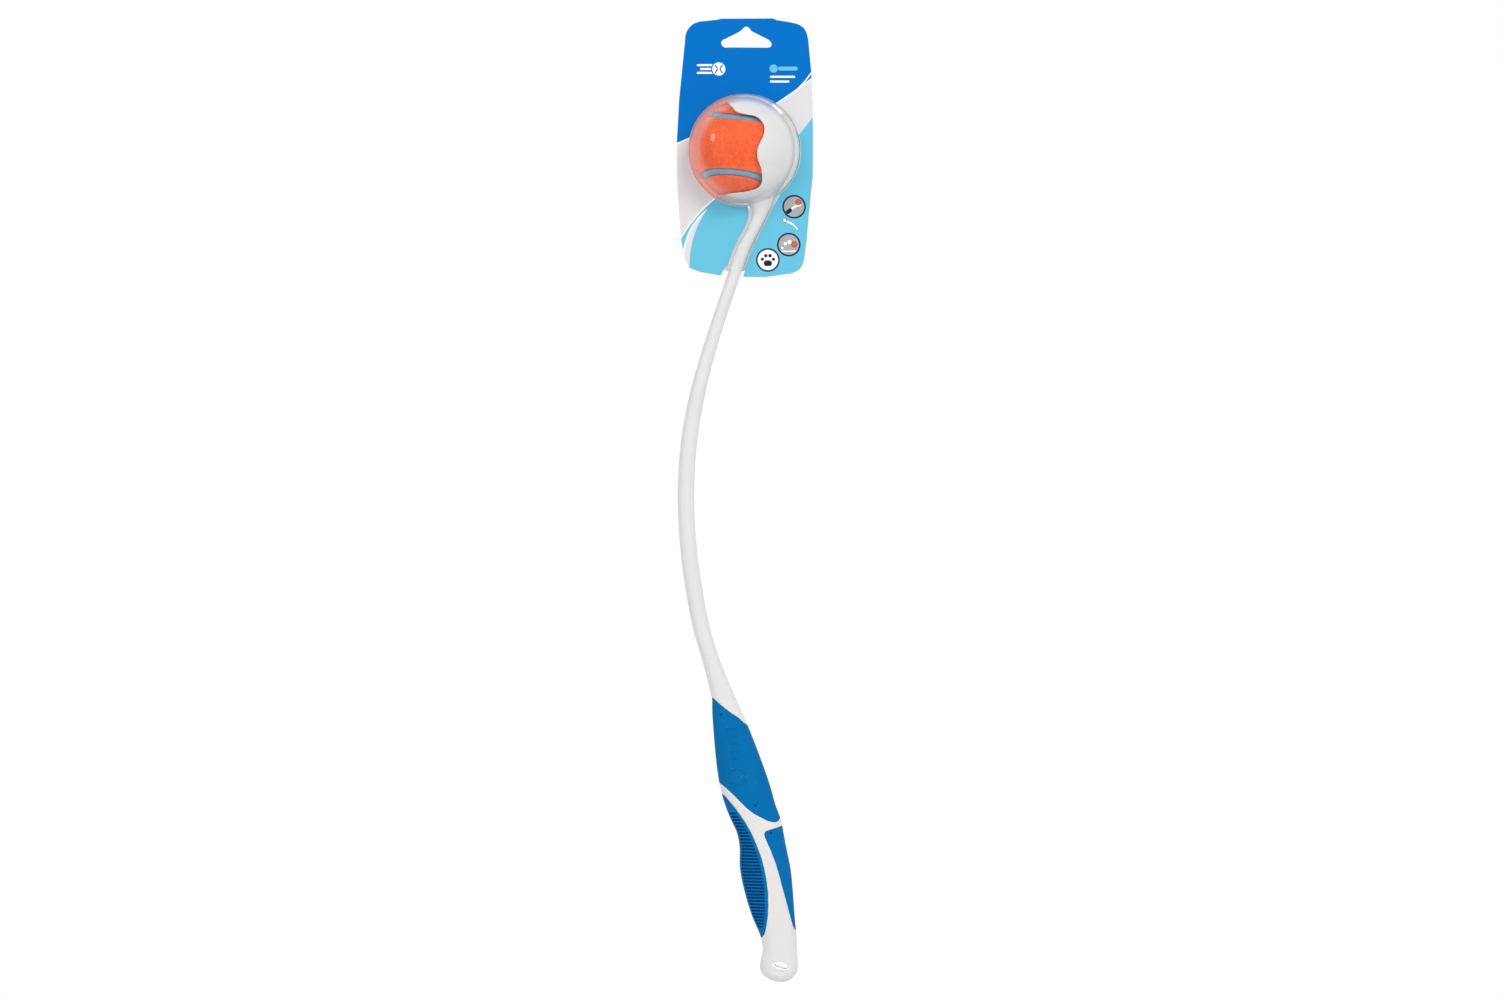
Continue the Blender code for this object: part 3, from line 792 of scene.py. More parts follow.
@dataclass(frozen=True)
class NappedFelt:
    """Napped orange felt, with its short fibres lying every way.

    The fibres, the clumps and the patches are noise, each with a size and a detail.
    """

    colour: Triple = (0.870, 0.098, 0.030)
    pale_colour: Triple = (0.950, 0.165, 0.050)
    dark_colour: Triple = (0.700, 0.060, 0.018)
    fibres: Pair = (0.00045, 4.0)
    clumps: Pair = (0.0022, 3.0)
    patches: Pair = (0.011, 2.0)
    fibre_share: float = 0.6
    pale_span: Pair = (0.42, 0.66)
    dark_span: Pair = (0.50, 0.32)
    patch_span: Pair = (0.35, 0.7)
    patch_share: float = 0.25
    nap_height: float = 0.00022
    nap_strength: float = 0.9
    roughness: float = 0.95
    sheen: float = 0.22
    sheen_roughness: float = 0.5
    sheen_tint: Triple = (1.0, 0.72, 0.60)
    shine: float = 0.15

    def material(self, name: str) -> Material:
        """Build the material.

        Args:
            name: Its name.

        Returns:
            The material.
        """
        material, graph, shader = start_material(name)
        place = own_place(graph)
        layers = (self.fibres, self.clumps, self.patches)
        fibres, clumps, patches = [graph.noise(place, *layer) for layer in layers]
        from_fibres = graph.times(fibres, self.fibre_share)
        nap = graph.math("ADD", from_fibres, graph.times(clumps, 1 - self.fibre_share))
        colour = graph.mix(graph.smoothstep(nap, *self.pale_span), self.colour, self.pale_colour)
        colour = graph.mix(graph.smoothstep(nap, *self.dark_span), colour, self.dark_colour)
        drift = graph.times(graph.smoothstep(patches, *self.patch_span), self.patch_share)
        colour = graph.mix(drift, colour, self.pale_colour)
        normal = bump(graph, nap, self.nap_height, self.nap_strength)
        feeds = {"Base Color": colour, "Roughness": self.roughness, "Normal": normal}
        feeds |= {"Sheen Weight": self.sheen, "Sheen Roughness": self.sheen_roughness}
        feeds |= {"Sheen Tint": self.sheen_tint, "Specular IOR Level": self.shine}
        graph.feed(shader, feeds)
        return material


@dataclass(frozen=True)
class CuredRubber:
    """Cured rubber, matte and a little chalky, for the ball's seam and for its core."""

    colour: Triple
    chalk_colour: Triple
    chalk_span: Pair = (0.4, 0.75)
    grain: Grain = Grain(0.0005, 0.006, 0.6, 0.8)
    grain_height: float = 0.00005

    def material(self, name: str) -> Material:
        """Build the material.

        Args:
            name: Its name.

        Returns:
            The material.
        """
        material, graph, shader = start_material(name)
        grain = self.grain.place(graph, own_place(graph))
        chalky = graph.smoothstep(grain["Drift"], *self.chalk_span)
        colour = graph.mix(chalky, self.colour, self.chalk_colour)
        normal = bump(graph, grain["Height"], self.grain_height)
        graph.feed(shader, {"Base Color": colour, "Roughness": grain["Roughness"], "Normal": normal})
        return material


class Ink(Enum):
    """The inks of the card."""

    DEEP = (0.000, 0.152, 0.520)
    PALE = (0.690, 0.672, 0.690)
    LIGHT = (0.132, 0.500, 0.680)
    WHITE = (0.950, 0.950, 0.950)
    NAVY = (0.012, 0.022, 0.060)
    GREY = (0.380, 0.380, 0.400)
    ORANGE = (0.870, 0.110, 0.035)


@dataclass(frozen=True)
class Arc:
    """A circle that an edge of the print follows: its centre across and up the card, and its radius."""

    across: float
    up: float
    radius: float


@dataclass(frozen=True)
class Mark:
    """A stroke with round ends, from one point to another, as shares of its picture's size."""

    start_shares: Pair
    end_shares: Pair
    radius_share: float
    ink: Ink


@dataclass(frozen=True)
class Picture:
    """A small printed picture: its place across and up the card, its size and its marks."""

    across: float
    up: float
    size: float
    marks: tuple[Mark, ...]


def dot(right: float, above: float, radius: float, ink: Ink) -> Mark:
    """A round mark."""
    return Mark((right, above), (right, above), radius, ink)


def path(points: Sequence[Pair], radius: float, ink: Ink) -> tuple[Mark, ...]:
    """Strokes from point to point."""
    return tuple(Mark(start, end, radius, ink) for start, end in zip(points, points[1:]))


def roundel(ink: Ink) -> tuple[Mark, ...]:
    """A disc of an ink with a dark line round it."""
    return dot(0.0, 0.0, 1.0, Ink.NAVY), dot(0.0, 0.0, 0.86, ink)


THROW_MARKS = (
    *roundel(Ink.GREY),
    Mark((-0.62, -0.52), (0.20, 0.12), 0.09, Ink.WHITE),
    Mark((-0.55, -0.46), (-0.34, -0.30), 0.17, Ink.NAVY),
    Mark((0.20, 0.12), (0.50, 0.14), 0.10, Ink.WHITE),
    dot(0.36, 0.38, 0.25, Ink.NAVY),
    dot(0.36, 0.38, 0.20, Ink.ORANGE),
)
BOUNCE_MARKS = (
    *roundel(Ink.GREY),
    Mark((-0.58, -0.56), (0.58, -0.56), 0.05, Ink.WHITE),
    dot(-0.56, -0.30, 0.11, Ink.WHITE),
    dot(-0.30, 0.08, 0.14, Ink.WHITE),
    dot(0.06, 0.22, 0.17, Ink.WHITE),
    dot(0.46, 0.02, 0.25, Ink.NAVY),
    dot(0.46, 0.02, 0.20, Ink.ORANGE),
)
PAW_MARKS = (
    *roundel(Ink.WHITE),
    Mark((-0.10, -0.28), (0.10, -0.28), 0.25, Ink.NAVY),
    dot(-0.47, 0.06, 0.14, Ink.NAVY),
    dot(-0.18, 0.36, 0.15, Ink.NAVY),
    dot(0.18, 0.36, 0.15, Ink.NAVY),
    dot(0.47, 0.06, 0.14, Ink.NAVY),
)
FLIGHT_MARKS = (
    Mark((-0.80, 0.55), (0.10, 0.15), 0.10, Ink.WHITE),
    Mark((0.10, 0.15), (0.62, -0.42), 0.07, Ink.WHITE),
    dot(-0.88, 0.60, 0.26, Ink.NAVY),
    dot(-0.88, 0.60, 0.20, Ink.WHITE),
)
SPEED_MARKS = (
    Mark((-1.35, 0.42), (0.40, 0.42), 0.11, Ink.WHITE),
    Mark((-1.00, 0.00), (0.40, 0.00), 0.11, Ink.WHITE),
    Mark((-1.35, -0.42), (0.40, -0.42), 0.11, Ink.WHITE),
    dot(0.95, 0.0, 0.86, Ink.DEEP),
    dot(0.95, 0.0, 0.72, Ink.WHITE),
    *path(((0.55, 0.42), (0.78, 0.10), (0.78, -0.10), (0.55, -0.42)), 0.07, Ink.DEEP),
    *path(((1.35, 0.42), (1.12, 0.10), (1.12, -0.10), (1.35, -0.42)), 0.07, Ink.DEEP),
)
BARS_MARKS = (
    dot(-0.75, 0.30, 0.36, Ink.LIGHT),
    Mark((-0.18, 0.30), (1.20, 0.30), 0.17, Ink.LIGHT),
    Mark((-0.98, -0.42), (1.05, -0.42), 0.09, Ink.WHITE),
    Mark((-0.98, -0.84), (0.55, -0.84), 0.09, Ink.WHITE),
)
NOTICE_MARKS = (
    Mark((-1.60, 0.60), (1.60, 0.60), 0.10, Ink.WHITE),
    Mark((-1.60, 0.20), (1.30, 0.20), 0.10, Ink.WHITE),
    Mark((-1.60, -0.20), (1.60, -0.20), 0.10, Ink.WHITE),
    Mark((-1.60, -0.60), (0.70, -0.60), 0.10, Ink.WHITE),
)


@dataclass(frozen=True)
class PrintedBoard:
    """Varnished board, printed on its outside in three fields, with plain pictures and no words."""

    side: Side
    board: Triple = (0.80, 0.79, 0.76)
    middle: float = -0.0018
    deep_left: Arc = Arc(-0.2336, 0.3653, 0.4812)
    deep_right: Arc = Arc(-0.2453, 0.3502, 0.4812)
    pale_right: Arc = Arc(-0.1769, 0.1033, 0.2743)
    upper_streak: tuple[Arc, Arc] = (Arc(0.0025, -0.0041, 0.0486), Arc(-0.0145, 0.0087, 0.0690))
    lower_wedge: tuple[Arc, Arc] = (Arc(0.0004, -0.1539, 0.0426), Arc(0.0261, -0.1572, 0.0637))
    light_left: Arc = Arc(0.0346, -0.1840, 0.0902)
    edge_line: float = 0.0009
    front_pictures: tuple[Picture, ...] = (
        Picture(-0.0240, -0.0280, 0.0060, SPEED_MARKS),
        Picture(0.0235, -0.0300, 0.0075, BARS_MARKS),
        Picture(0.0314, -0.1189, 0.0078, THROW_MARKS),
        Picture(0.0279, -0.1439, 0.0078, BOUNCE_MARKS),
        Picture(0.0141, -0.1540, 0.0078, PAW_MARKS),
        Picture(0.0300, -0.1312, 0.0056, FLIGHT_MARKS),
    )
    back_pictures: tuple[Picture, ...] = (
        Picture(0.0, -0.0300, 0.0110, NOTICE_MARKS),
        Picture(0.0310, -0.1250, 0.0078, PAW_MARKS),
    )
    grain: Grain = Grain(0.0009, 0.02, 0.24, 0.36)
    grain_height: float = 0.00001
    grain_strength: float = 0.5
    printed_span: Pair = (0.4, 0.6)
    bare_roughness: float = 0.5
    shine: float = 0.10

    def disc(self, graph: Graph, place: Value, arc: Arc) -> Outputs:
        """The masks of a disc with an arc as its edge."""
        feeds = {"Place": place, "Centre": (arc.across, arc.up, 0), "Radius": arc.radius}
        return Effect.DISC.place(graph, feeds | {"Line": self.edge_line})

    def streak(self, graph: Graph, place: Value, arcs: tuple[Arc, Arc]) -> Socket:
        """The mask of a thin streak, which lies inside the first arc and outside the second."""
        inside, outside = (self.disc(graph, place, arc)["Disc"] for arc in arcs)
        return graph.times(inside, graph.inverse(outside))

    def wedge_line(self, graph: Graph, place: Value) -> Socket:
        """The mask of the pale line along the left side of the lower wedge."""
        edge, outside = (self.disc(graph, place, arc) for arc in self.lower_wedge)
        return graph.times(edge["Rim"], graph.inverse(outside["Disc"]))

    def half(self, graph: Graph, right: Value, arcs: tuple[Arc, Arc], output: str, place: Value) -> Value:
        """A mask that follows one arc on the card's left half and another on its right."""
        on_left, on_right = (self.disc(graph, place, arc)[output] for arc in arcs)
        return graph.add("Mix", {"Factor": right, 2: on_left, 3: on_right}, data_type="FLOAT").outputs[0]

    def print_fields(self, graph: Graph, place: Value, across: Value) -> Value:
        """Print the three fields, the wedge, the streak and the pale lines along their edges.

        Args:
            graph: The material's graph.
            place: Where a point is across and up the card.
            across: How far across the card it is.

        Returns:
            The colour of the print.
        """
        right = graph.math("GREATER_THAN", across, self.middle)
        left = graph.inverse(right)
        low_left = self.disc(graph, place, self.light_left)
        low_right = graph.inverse(self.disc(graph, place, self.pale_right)["Disc"])
        on_left = graph.times(low_left["Disc"], left)
        light = graph.math("MAXIMUM", on_left, graph.times(low_right, right))
        colour = graph.mix(light, Ink.PALE.value, Ink.LIGHT.value)
        deep_arcs = self.deep_left, self.deep_right
        colour = graph.mix(self.half(graph, right, deep_arcs, "Disc", place), colour, Ink.DEEP.value)
        colour = graph.mix(self.streak(graph, place, self.lower_wedge), colour, Ink.PALE.value)
        lines = self.half(graph, right, deep_arcs, "Rim", place)
        edge = graph.times(low_left["Rim"], left)
        streak = self.streak(graph, place, self.upper_streak)
        for mask in (lines, edge, streak, self.wedge_line(graph, place)):
            colour = graph.mix(mask, colour, Ink.WHITE.value)
        return colour

    def add_picture(self, graph: Graph, place: Value, under: Value, picture: Picture) -> Value:
        """Print a picture over a colour.

        Args:
            graph: The material's graph.
            place: Where a point is across and up the card.
            under: The colour under the picture.
            picture: What is printed.

        Returns:
            The colour with the picture on it.
        """
        colour = under
        for mark in picture.marks:
            (x1, z1), (x2, z2) = mark.start_shares, mark.end_shares
            start = (picture.across + x1 * picture.size, picture.up + z1 * picture.size, 0)
            end = (picture.across + x2 * picture.size, picture.up + z2 * picture.size, 0)
            feeds = {"Place": place, "Start": start, "End": end, "Radius": mark.radius_share * picture.size}
            mask = Effect.STROKE.place(graph, feeds)["Mask"]
            colour = graph.mix(mask, colour, mark.ink.value)
        return colour

    def material(self, name: str) -> Material:
        """Build the material.

        Args:
            name: Its name.

        Returns:
            The material.
        """
        material, graph, shader = start_material(name)
        spot = own_place(graph)
        split = graph.parts(spot)
        across = graph.times(split["X"], float(-self.side.value))
        place = graph.add("CombineXYZ", {"X": across, "Y": split["Z"]}).outputs[0]
        colour = self.print_fields(graph, place, across)
        for picture in self.front_pictures if self.side is Side.FRONT else self.back_pictures:
            colour = self.add_picture(graph, place, colour, picture)
        grain = self.grain.place(graph, spot)
        depth_part = graph.parts(graph.add("TexCoord").outputs["Normal"])["Y"]
        facing = graph.times(depth_part, float(self.side.value))
        printed = graph.smoothstep(facing, *self.printed_span)
        colour = graph.mix(printed, self.board, colour)
        rough = graph.math("MULTIPLY_ADD", graph.inverse(printed), self.bare_roughness, grain["Roughness"])
        normal = bump(graph, grain["Height"], self.grain_height, self.grain_strength)
        feeds = {"Base Color": colour, "Roughness": rough, "Normal": normal}
        graph.feed(shader, feeds | {"Specular IOR Level": self.shine})
        return material


@dataclass(frozen=True)
class ClearSheet:
    """Clear thermoformed sheet, with painted shade on its walls and a painted dark rim seen edge on, painted
    reflections of the felt and the card near it, a painted white glare and a painted highlight streak.
    """

    tint: Triple = (0.996, 0.998, 1.000)
    # Painted shade: the darker colour of the walls seen at a slant.
    wall_shade_tint: Triple = (0.915, 0.910, 0.905)
    # Painted reflection of the card in the upper part of the dome's walls.
    card_tint: Triple = (0.860, 0.900, 0.960)
    # Painted reflection of the orange felt in the walls just in front of it.
    felt_reflection_tint: Triple = (0.960, 0.540, 0.440)
    # Painted shade: the dark rim where the sheet is seen edge on.
    rim_shade_tint: Triple = (0.640, 0.580, 0.570)
    # How far edge on the painted wall colours and the painted dark rim come in.
    painted_wall_span: Pair = (0.40, 0.60)
    rim_shade_span: Pair = (0.84, 0.94)
    # Where the painted felt reflection and the painted card reflection lie, across and up.
    felt_reflection_span: Pair = (0.000, -0.024)
    card_reflection_span: Pair = (-0.0620, -0.0480)
    foot_span: Pair = (-0.1190, -0.1130)
    # Painted highlight: how far edge on the white glare comes in on the dome's felt side, and how strong it
    # is.
    glare_span: Pair = (0.24, 0.66)
    glare_share: float = 0.18
    # Painted shade along the back channel: pale on the near side of the shaft, teal on the far side, where
    # the teal is also a painted reflection of the card.
    near_side_shade: Triple = (0.860, 0.825, 0.810)
    far_side_shade_and_reflection: Triple = (0.500, 0.660, 0.690)
    level_span: Pair = (0.25, 0.60)
    channel_slope: float = -0.398
    channel_span: Pair = (0.0552, 0.0592)
    shade: Triple = (0.850, 0.850, 0.850)
    # A painted highlight streak on the front dome: its ends, width, softness and strength.
    glint_from: Pair = (0.0178, -0.0530)
    glint_to: Pair = (0.0226, -0.0578)
    glint_radius: float = 0.0009
    glint_softness: float = 0.0007
    glint_share: float = 0.75
    grain: Grain = Grain(0.003, 0.015, 0.02, 0.07)
    straight_on: float = 0.035
    steepness: float = 5.0
    shade_steepness: float = 3.0
    ripple_size: float = 0.014
    ripple_height: float = 0.00010

    def channel(self, graph: Graph, split: Outputs, on_dome: Value, sheet: Value) -> Socket:
        """Paint shade onto the back shell's channel on each side of the shaft, with a painted reflection of
        the card on the far side.

        Args:
            graph: The material's graph.
            split: The coordinates of a point.
            on_dome: The mask of the dome.
            sheet: The colour of the sheet without this painted shade.

        Returns:
            The colour with it.
        """
        across = graph.math("MULTIPLY_ADD", split["Z"], self.channel_slope, split["X"])
        far = graph.smoothstep(across, *self.channel_span)
        # Painted shade, and on the far side a painted reflection of the card.
        sides = graph.mix(far, self.near_side_shade, self.far_side_shade_and_reflection)
        at_back = graph.math("GREATER_THAN", split["Y"], 0.0)
        here = graph.times(at_back, graph.inverse(on_dome))
        normal = graph.parts(graph.add("NewGeometry").outputs["Normal"])["Y"]
        level = graph.smoothstep(graph.math("ABSOLUTE", normal), *self.level_span)
        return graph.mix(graph.times(here, level), sheet, sides)

    def glint(self, graph: Graph, split: Outputs) -> Socket:
        """Paint a short highlight streak on the front dome, a painted glint.

        Args:
            graph: The material's graph.
            split: The coordinates of a point.

        Returns:
            The painted highlight's mask.
        """
        flat = graph.add("CombineXYZ", {"X": split["X"], "Y": split["Z"]}).outputs[0]
        feeds = {"Place": flat, "Start": (*self.glint_from, 0), "End": (*self.glint_to, 0)}
        feeds |= {"Radius": self.glint_radius, "Softness": self.glint_softness}
        mark = Effect.STROKE.place(graph, feeds)["Mask"]
        in_front = graph.math("LESS_THAN", split["Y"], 0.0)
        return graph.times(graph.times(mark, in_front), self.glint_share)

    def surface(self, graph: Graph, place: Socket, grazing: Socket) -> Socket:
        """Build the sheet as the camera and mirrors see it.

        Args:
            graph: The material's graph.
            place: Where a point is on the piece.
            grazing: How far the sheet is turned edge on.

        Returns:
            The shader.
        """
        roughness = self.grain.place(graph, place)["Roughness"]
        normal = bump(graph, graph.noise(place, self.ripple_size, 1.0), self.ripple_height)
        split = graph.parts(place)
        on_dome = graph.smoothstep(split["Z"], *self.foot_span)
        # Painted reflection of the felt in the dome's walls on its felt side.
        felt_reflection_mask = graph.times(graph.smoothstep(split["X"], *self.felt_reflection_span), on_dome)
        # Painted reflection of the card in the upper walls, painted shade in the rest.
        wall = graph.mix(graph.smoothstep(split["Z"], *self.card_reflection_span), self.wall_shade_tint, self.card_tint)
        wall = graph.mix(felt_reflection_mask, wall, self.felt_reflection_tint)
        # Painted shade and painted reflections come in as the sheet turns edge on, with a painted dark rim at
        # the very edge.
        sheet = graph.mix(graph.smoothstep(grazing, *self.painted_wall_span), self.tint, wall)
        sheet = graph.mix(graph.smoothstep(grazing, *self.rim_shade_span), sheet, self.rim_shade_tint)
        sheet = self.channel(graph, split, on_dome, sheet)
        see_through = graph.add("BsdfTransparent", {"Color": sheet}).outputs[0]
        feeds = {"Color": sheet, "Normal": normal, "Roughness": roughness}
        mirror = graph.add("BsdfGlossy", feeds).outputs[0]
        rise = graph.math("POWER", grazing, self.steepness)
        bounce = graph.math("MULTIPLY_ADD", rise, 1 - self.straight_on, self.straight_on)
        behind = graph.add("NewGeometry").outputs["Backfacing"]
        clear = graph.blend(graph.times(bounce, graph.inverse(behind)), see_through, mirror)
        # Painted white for the painted glare on the dome's felt side and for the painted highlight streak.
        painted_white = graph.add("BsdfDiffuse", {"Color": WHITE}).outputs[0]
        glare = graph.times(felt_reflection_mask, graph.smoothstep(grazing, *self.glare_span))
        # Painted glare and painted glint, whichever is stronger.
        pale = graph.math("MAXIMUM", graph.times(glare, self.glare_share), self.glint(graph, split))
        return graph.blend(pale, clear, painted_white)

    def material(self, name: str) -> Material:
        """Build the material, which lets light through it to the pieces inside.

        Args:
            name: Its name.

        Returns:
            The material.
        """
        material, graph, shader = start_material(name)
        grazing = edge_on(graph)
        seen = self.surface(graph, own_place(graph), grazing)
        lighting = graph.any_ray("Shadow", "Diffuse")
        let_by = graph.mix(graph.math("POWER", grazing, self.shade_steepness), WHITE, self.shade)
        open_way = graph.add("BsdfTransparent", {"Color": let_by}).outputs[0]
        whole = graph.blend(lighting, seen, open_way)
        graph.feed(graph.tree.nodes["Material Output"], {"Surface": whole})
        graph.tree.nodes.remove(shader)
        return material


# Form that several pieces share


def cut_level(rows: Table, top: Pair, size: tuple[float, ...], down: float) -> tuple[float, ...]:
    """Cut a limb of the arm level at a share of its length.

    Args:
        rows: The limb's table, as shares of its size.
        top: The x and z that it starts at.
        size: How far it leans, its width, its depth and its length.
        down: The share.

    Returns:
        The section's centre x, half width, half depth and z.
    """
    centre, width, depth = read_table(rows, down)
    lean, wide, deep, length = size
    return top[0] + centre * lean, width * wide / 2, depth * deep / 2, top[1] - down * length


@dataclass(frozen=True)
class ArmForm:
    """The arm's form from the cup down to the end of the handle, which other pieces fit."""

    ball_radius: float = 0.0325
    ball_x: float = -0.0031
    ball_z: float = -0.0815
    cup_clearance: float = 0.0005
    cup_wall: float = 0.0022
    shaft_length: float = 0.3445
    shaft_bow: float = 0.0587
    shaft_width: float = 0.01077
    shaft_depth: float = 0.0119
    handle_length: float = 0.1861
    handle_lean: float = 0.0361
    handle_width: float = 0.0334
    handle_depth: float = 0.0231
    section_power: float = 2.25
    sides: int = 72
    step: float = 0.0030
    closest_share: float = 0.25
    dense_from_share: float = 0.98
    overrun: float = 0.0100
    depth_steps: int = 400
    depth_span_shares: Pair = (0.0, 0.955)
    top_shares: Pair = (0.6215, -0.5209)
    shaft_end_share: float = 0.570
    shaft_shares: Table = (
        (0.000, 0.101, 2.58, 2.70),
        (0.023, 0.169, 2.45, 2.35),
        (0.040, 0.208, 2.27, 1.85),
        (0.046, 0.174, 1.72, 1.50),
        (0.054, 0.162, 1.33, 1.22),
        (0.065, 0.168, 1.02, 1.02),
        (0.079, 0.192, 0.88, 0.92),
        (0.128, 0.336, 0.85, 0.89),
        (0.211, 0.511, 0.82, 0.91),
        (0.257, 0.604, 0.82, 0.93),
        (0.326, 0.734, 0.85, 0.96),
        (0.418, 0.877, 0.95, 1.00),
        (0.510, 0.969, 0.99, 1.00),
        (0.602, 1.000, 1.00, 1.00),
        (0.693, 0.980, 1.01, 1.00),
        (0.785, 0.913, 1.03, 1.00),
        (0.877, 0.803, 1.05, 1.02),
        (0.923, 0.719, 1.09, 1.03),
        (0.969, 0.630, 1.28, 1.05),
    )
    handle_shares: Table = (
        (0.000, 0.000, 0.478, 0.556),
        (0.043, 0.049, 0.581, 0.610),
        (0.085, 0.105, 0.674, 0.675),
        (0.128, 0.159, 0.755, 0.740),
        (0.213, 0.263, 0.893, 0.840),
        (0.298, 0.371, 0.990, 0.915),
        (0.383, 0.495, 0.998, 0.960),
        (0.426, 0.583, 0.990, 0.975),
        (0.468, 0.654, 0.925, 0.985),
        (0.511, 0.698, 0.915, 0.990),
        (0.596, 0.748, 1.000, 1.000),
        (0.681, 0.814, 0.955, 0.955),
        (0.766, 0.897, 0.844, 0.860),
        (0.851, 1.003, 0.694, 0.740),
        (0.886, 1.017, 0.670, 0.690),
        (0.922, 1.004, 0.727, 0.650),
        (0.943, 1.000, 0.751, 0.625),
        (0.958, 1.000, 0.731, 0.580),
        (0.972, 1.002, 0.660, 0.520),
        (0.983, 1.009, 0.545, 0.440),
        (0.992, 1.021, 0.390, 0.330),
        (0.998, 1.036, 0.215, 0.200),
        (1.000, 1.040, 0.110, 0.110),
    )

    @property
    def cup_inner(self) -> float:
        """Radius of the cup's inside."""
        return self.ball_radius + self.cup_clearance

    @property
    def cup_outer(self) -> float:
        """Radius of the cup's outside."""
        return self.cup_inner + self.cup_wall

    @property
    def ball_centre(self) -> Vector:
        """Centre of the ball and of the cup."""
        return Vector((self.ball_x, 0, self.ball_z))

    @property
    def shaft_top(self) -> Pair:
        """The x and z of the shaft's start, inside the cup."""
        right, up = self.top_shares
        return self.ball_x + right * self.cup_outer, self.ball_z + up * self.cup_outer

    @property
    def handle_top(self) -> Pair:
        """The x and z of the handle's start."""
        x, z = self.shaft_top
        return x - self.shaft_bow * self.shaft_end_share, z - self.shaft_length

    def shaft_rows(self) -> Table:
        """The shaft's table, ending with the size that the handle starts with."""
        _, _, width, depth = self.handle_shares[0]
        end = (width * self.handle_width / self.shaft_width, depth * self.handle_depth / self.shaft_depth)
        return (*self.shaft_shares, (1.0, self.shaft_end_share, *end))

    def shaft_section(self, down: float) -> tuple[float, ...]:
        """Centre x, half width, half depth and z of the shaft, at a share of its length."""
        size = (-self.shaft_bow, self.shaft_width, self.shaft_depth, self.shaft_length)
        return cut_level(self.shaft_rows(), self.shaft_top, size, down)

    def handle_section(self, down: float) -> tuple[float, ...]:
        """Centre x, half width, half depth and z of the handle, at a share of its length."""
        size = (self.handle_lean, self.handle_width, self.handle_depth, self.handle_length)
        return cut_level(self.handle_shares, self.handle_top, size, down)

    def ring(self, section: Sequence[float], grow: float = 0.0) -> list[Triple]:
        """A level rounded oval.

        Args:
            section: Its centre x, half width, half depth and z.
            grow: How much larger it is made all round.

        Returns:
            The oval's points.
        """
        centre_x, half_width, half_depth, z = section
        points = []
        for side in range(self.sides):
            angle = math.tau * side / self.sides
            across = math.copysign(abs(math.cos(angle)) ** (2 / self.section_power), math.cos(angle))
            through = math.copysign(abs(math.sin(angle)) ** (2 / self.section_power), math.sin(angle))
            points.append((centre_x + (half_width + grow) * across, (half_depth + grow) * through, z))
        return points

    def places(self, rows: Table, length: float, low: float, high: float) -> list[float]:
        """Places down a table, a step apart, with the table's own rows.

        Args:
            rows: The table.
            length: The length that its shares are shares of.
            low: The share that the places begin at.
            high: The share that they end at.

        Returns:
            The places, as shares.
        """
        count = math.ceil((high - low) * length / self.step)
        found = {round(low + (high - low) * part / count, PLACE_DIGITS) for part in range(count + 1)}
        kept = sorted(found | {row[0] for row in rows if low <= row[0] <= high})
        closest = self.closest_share * self.step / length
        thinned = [kept[0]]
        for at in kept[1:]:
            if at - thinned[-1] > closest or at > self.dense_from_share:
                thinned.append(at)
        return thinned

    def shaft_places(self, low: float, high: float) -> list[float]:
        """Places down the shaft between two shares of its length."""
        return self.places(self.shaft_rows(), self.shaft_length, low, high)

    def rings(self, grow: float = 0.0, shaft_from: float = 0.0, handle_to: float = 1.0) -> list[list[Triple]]:
        """Rings down the arm.

        Args:
            grow: How much larger they are made all round.
            shaft_from: The share of the shaft's length that they begin at.
            handle_to: The share of the handle's length that they end at.

        Returns:
            The rings.
        """
        on_shaft = self.shaft_places(shaft_from, 1.0)[:-1]
        in_hand = self.places(self.handle_shares, self.handle_length, 0.0, handle_to)
        sections = [self.shaft_section(at) for at in on_shaft] + [self.handle_section(at) for at in in_hand]
        return [self.ring(section, grow) for section in sections]

    def on_handle(self, down: float, across: float) -> Pair:
        """The (x, z) point at a share down the handle and across its half width."""
        centre_x, half_width, _, z = self.handle_section(max(down, 0))
        return centre_x + across * half_width, z - min(down, 0) * self.handle_length

    def on_cup(self, across: float, up: float) -> Pair:
        """The (x, z) point at shares of the cup's outer radius from the ball's centre."""
        return self.ball_x + across * self.cup_outer, self.ball_z + up * self.cup_outer


def mark_depth(obj: Object, form: ArmForm) -> None:
    """Note at each point of a piece of the handle how far it lies below the handle's skin.

    Args:
        obj: The piece.
        form: The form that the skin belongs to.
    """
    places = np.empty(3 * len(obj.data.vertices), np.float32)
    obj.data.vertices.foreach_get("co", places)
    x, y, z = places.reshape(-1, 3).T
    shares = np.linspace(0.0, 1.0, form.depth_steps)
    sections = np.array([form.handle_section(share) for share in shares])
    down = (form.handle_top[1] - z) / form.handle_length
    centre, wide, deep = (np.interp(down, shares, sections[:, column]) for column in range(3))
    power = form.section_power
    out = (np.abs((x - centre) / wide) ** power + np.abs(y / deep) ** power) ** (1 / power)
    low, high = form.depth_span_shares
    depth = np.where((down > low) & (down < high), (1 - out) * np.minimum(wide, deep), 0.0)
    obj.data.attributes.new(DEPTH, "FLOAT", "POINT").data.foreach_set("value", depth.astype(np.float32))


def dress(obj: Object, body: str, slot: str, material: Material, *nodes: str) -> None:
    """Give a finished piece its material, hang it on its body and hide the parts of the frame that it stands
    for.

    Args:
        obj: The piece.
        body: The body that it moves with.
        slot: Not used.
        material: Its material.
        *nodes: The nodes that it stands for.
    """
    obj.data.materials.clear()
    obj.data.materials.append(material)
    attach(obj, body)
    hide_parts(*nodes)
    LOG.info("%s: %d faces", obj.name, len(obj.data.polygons))


# Sub-assemblies


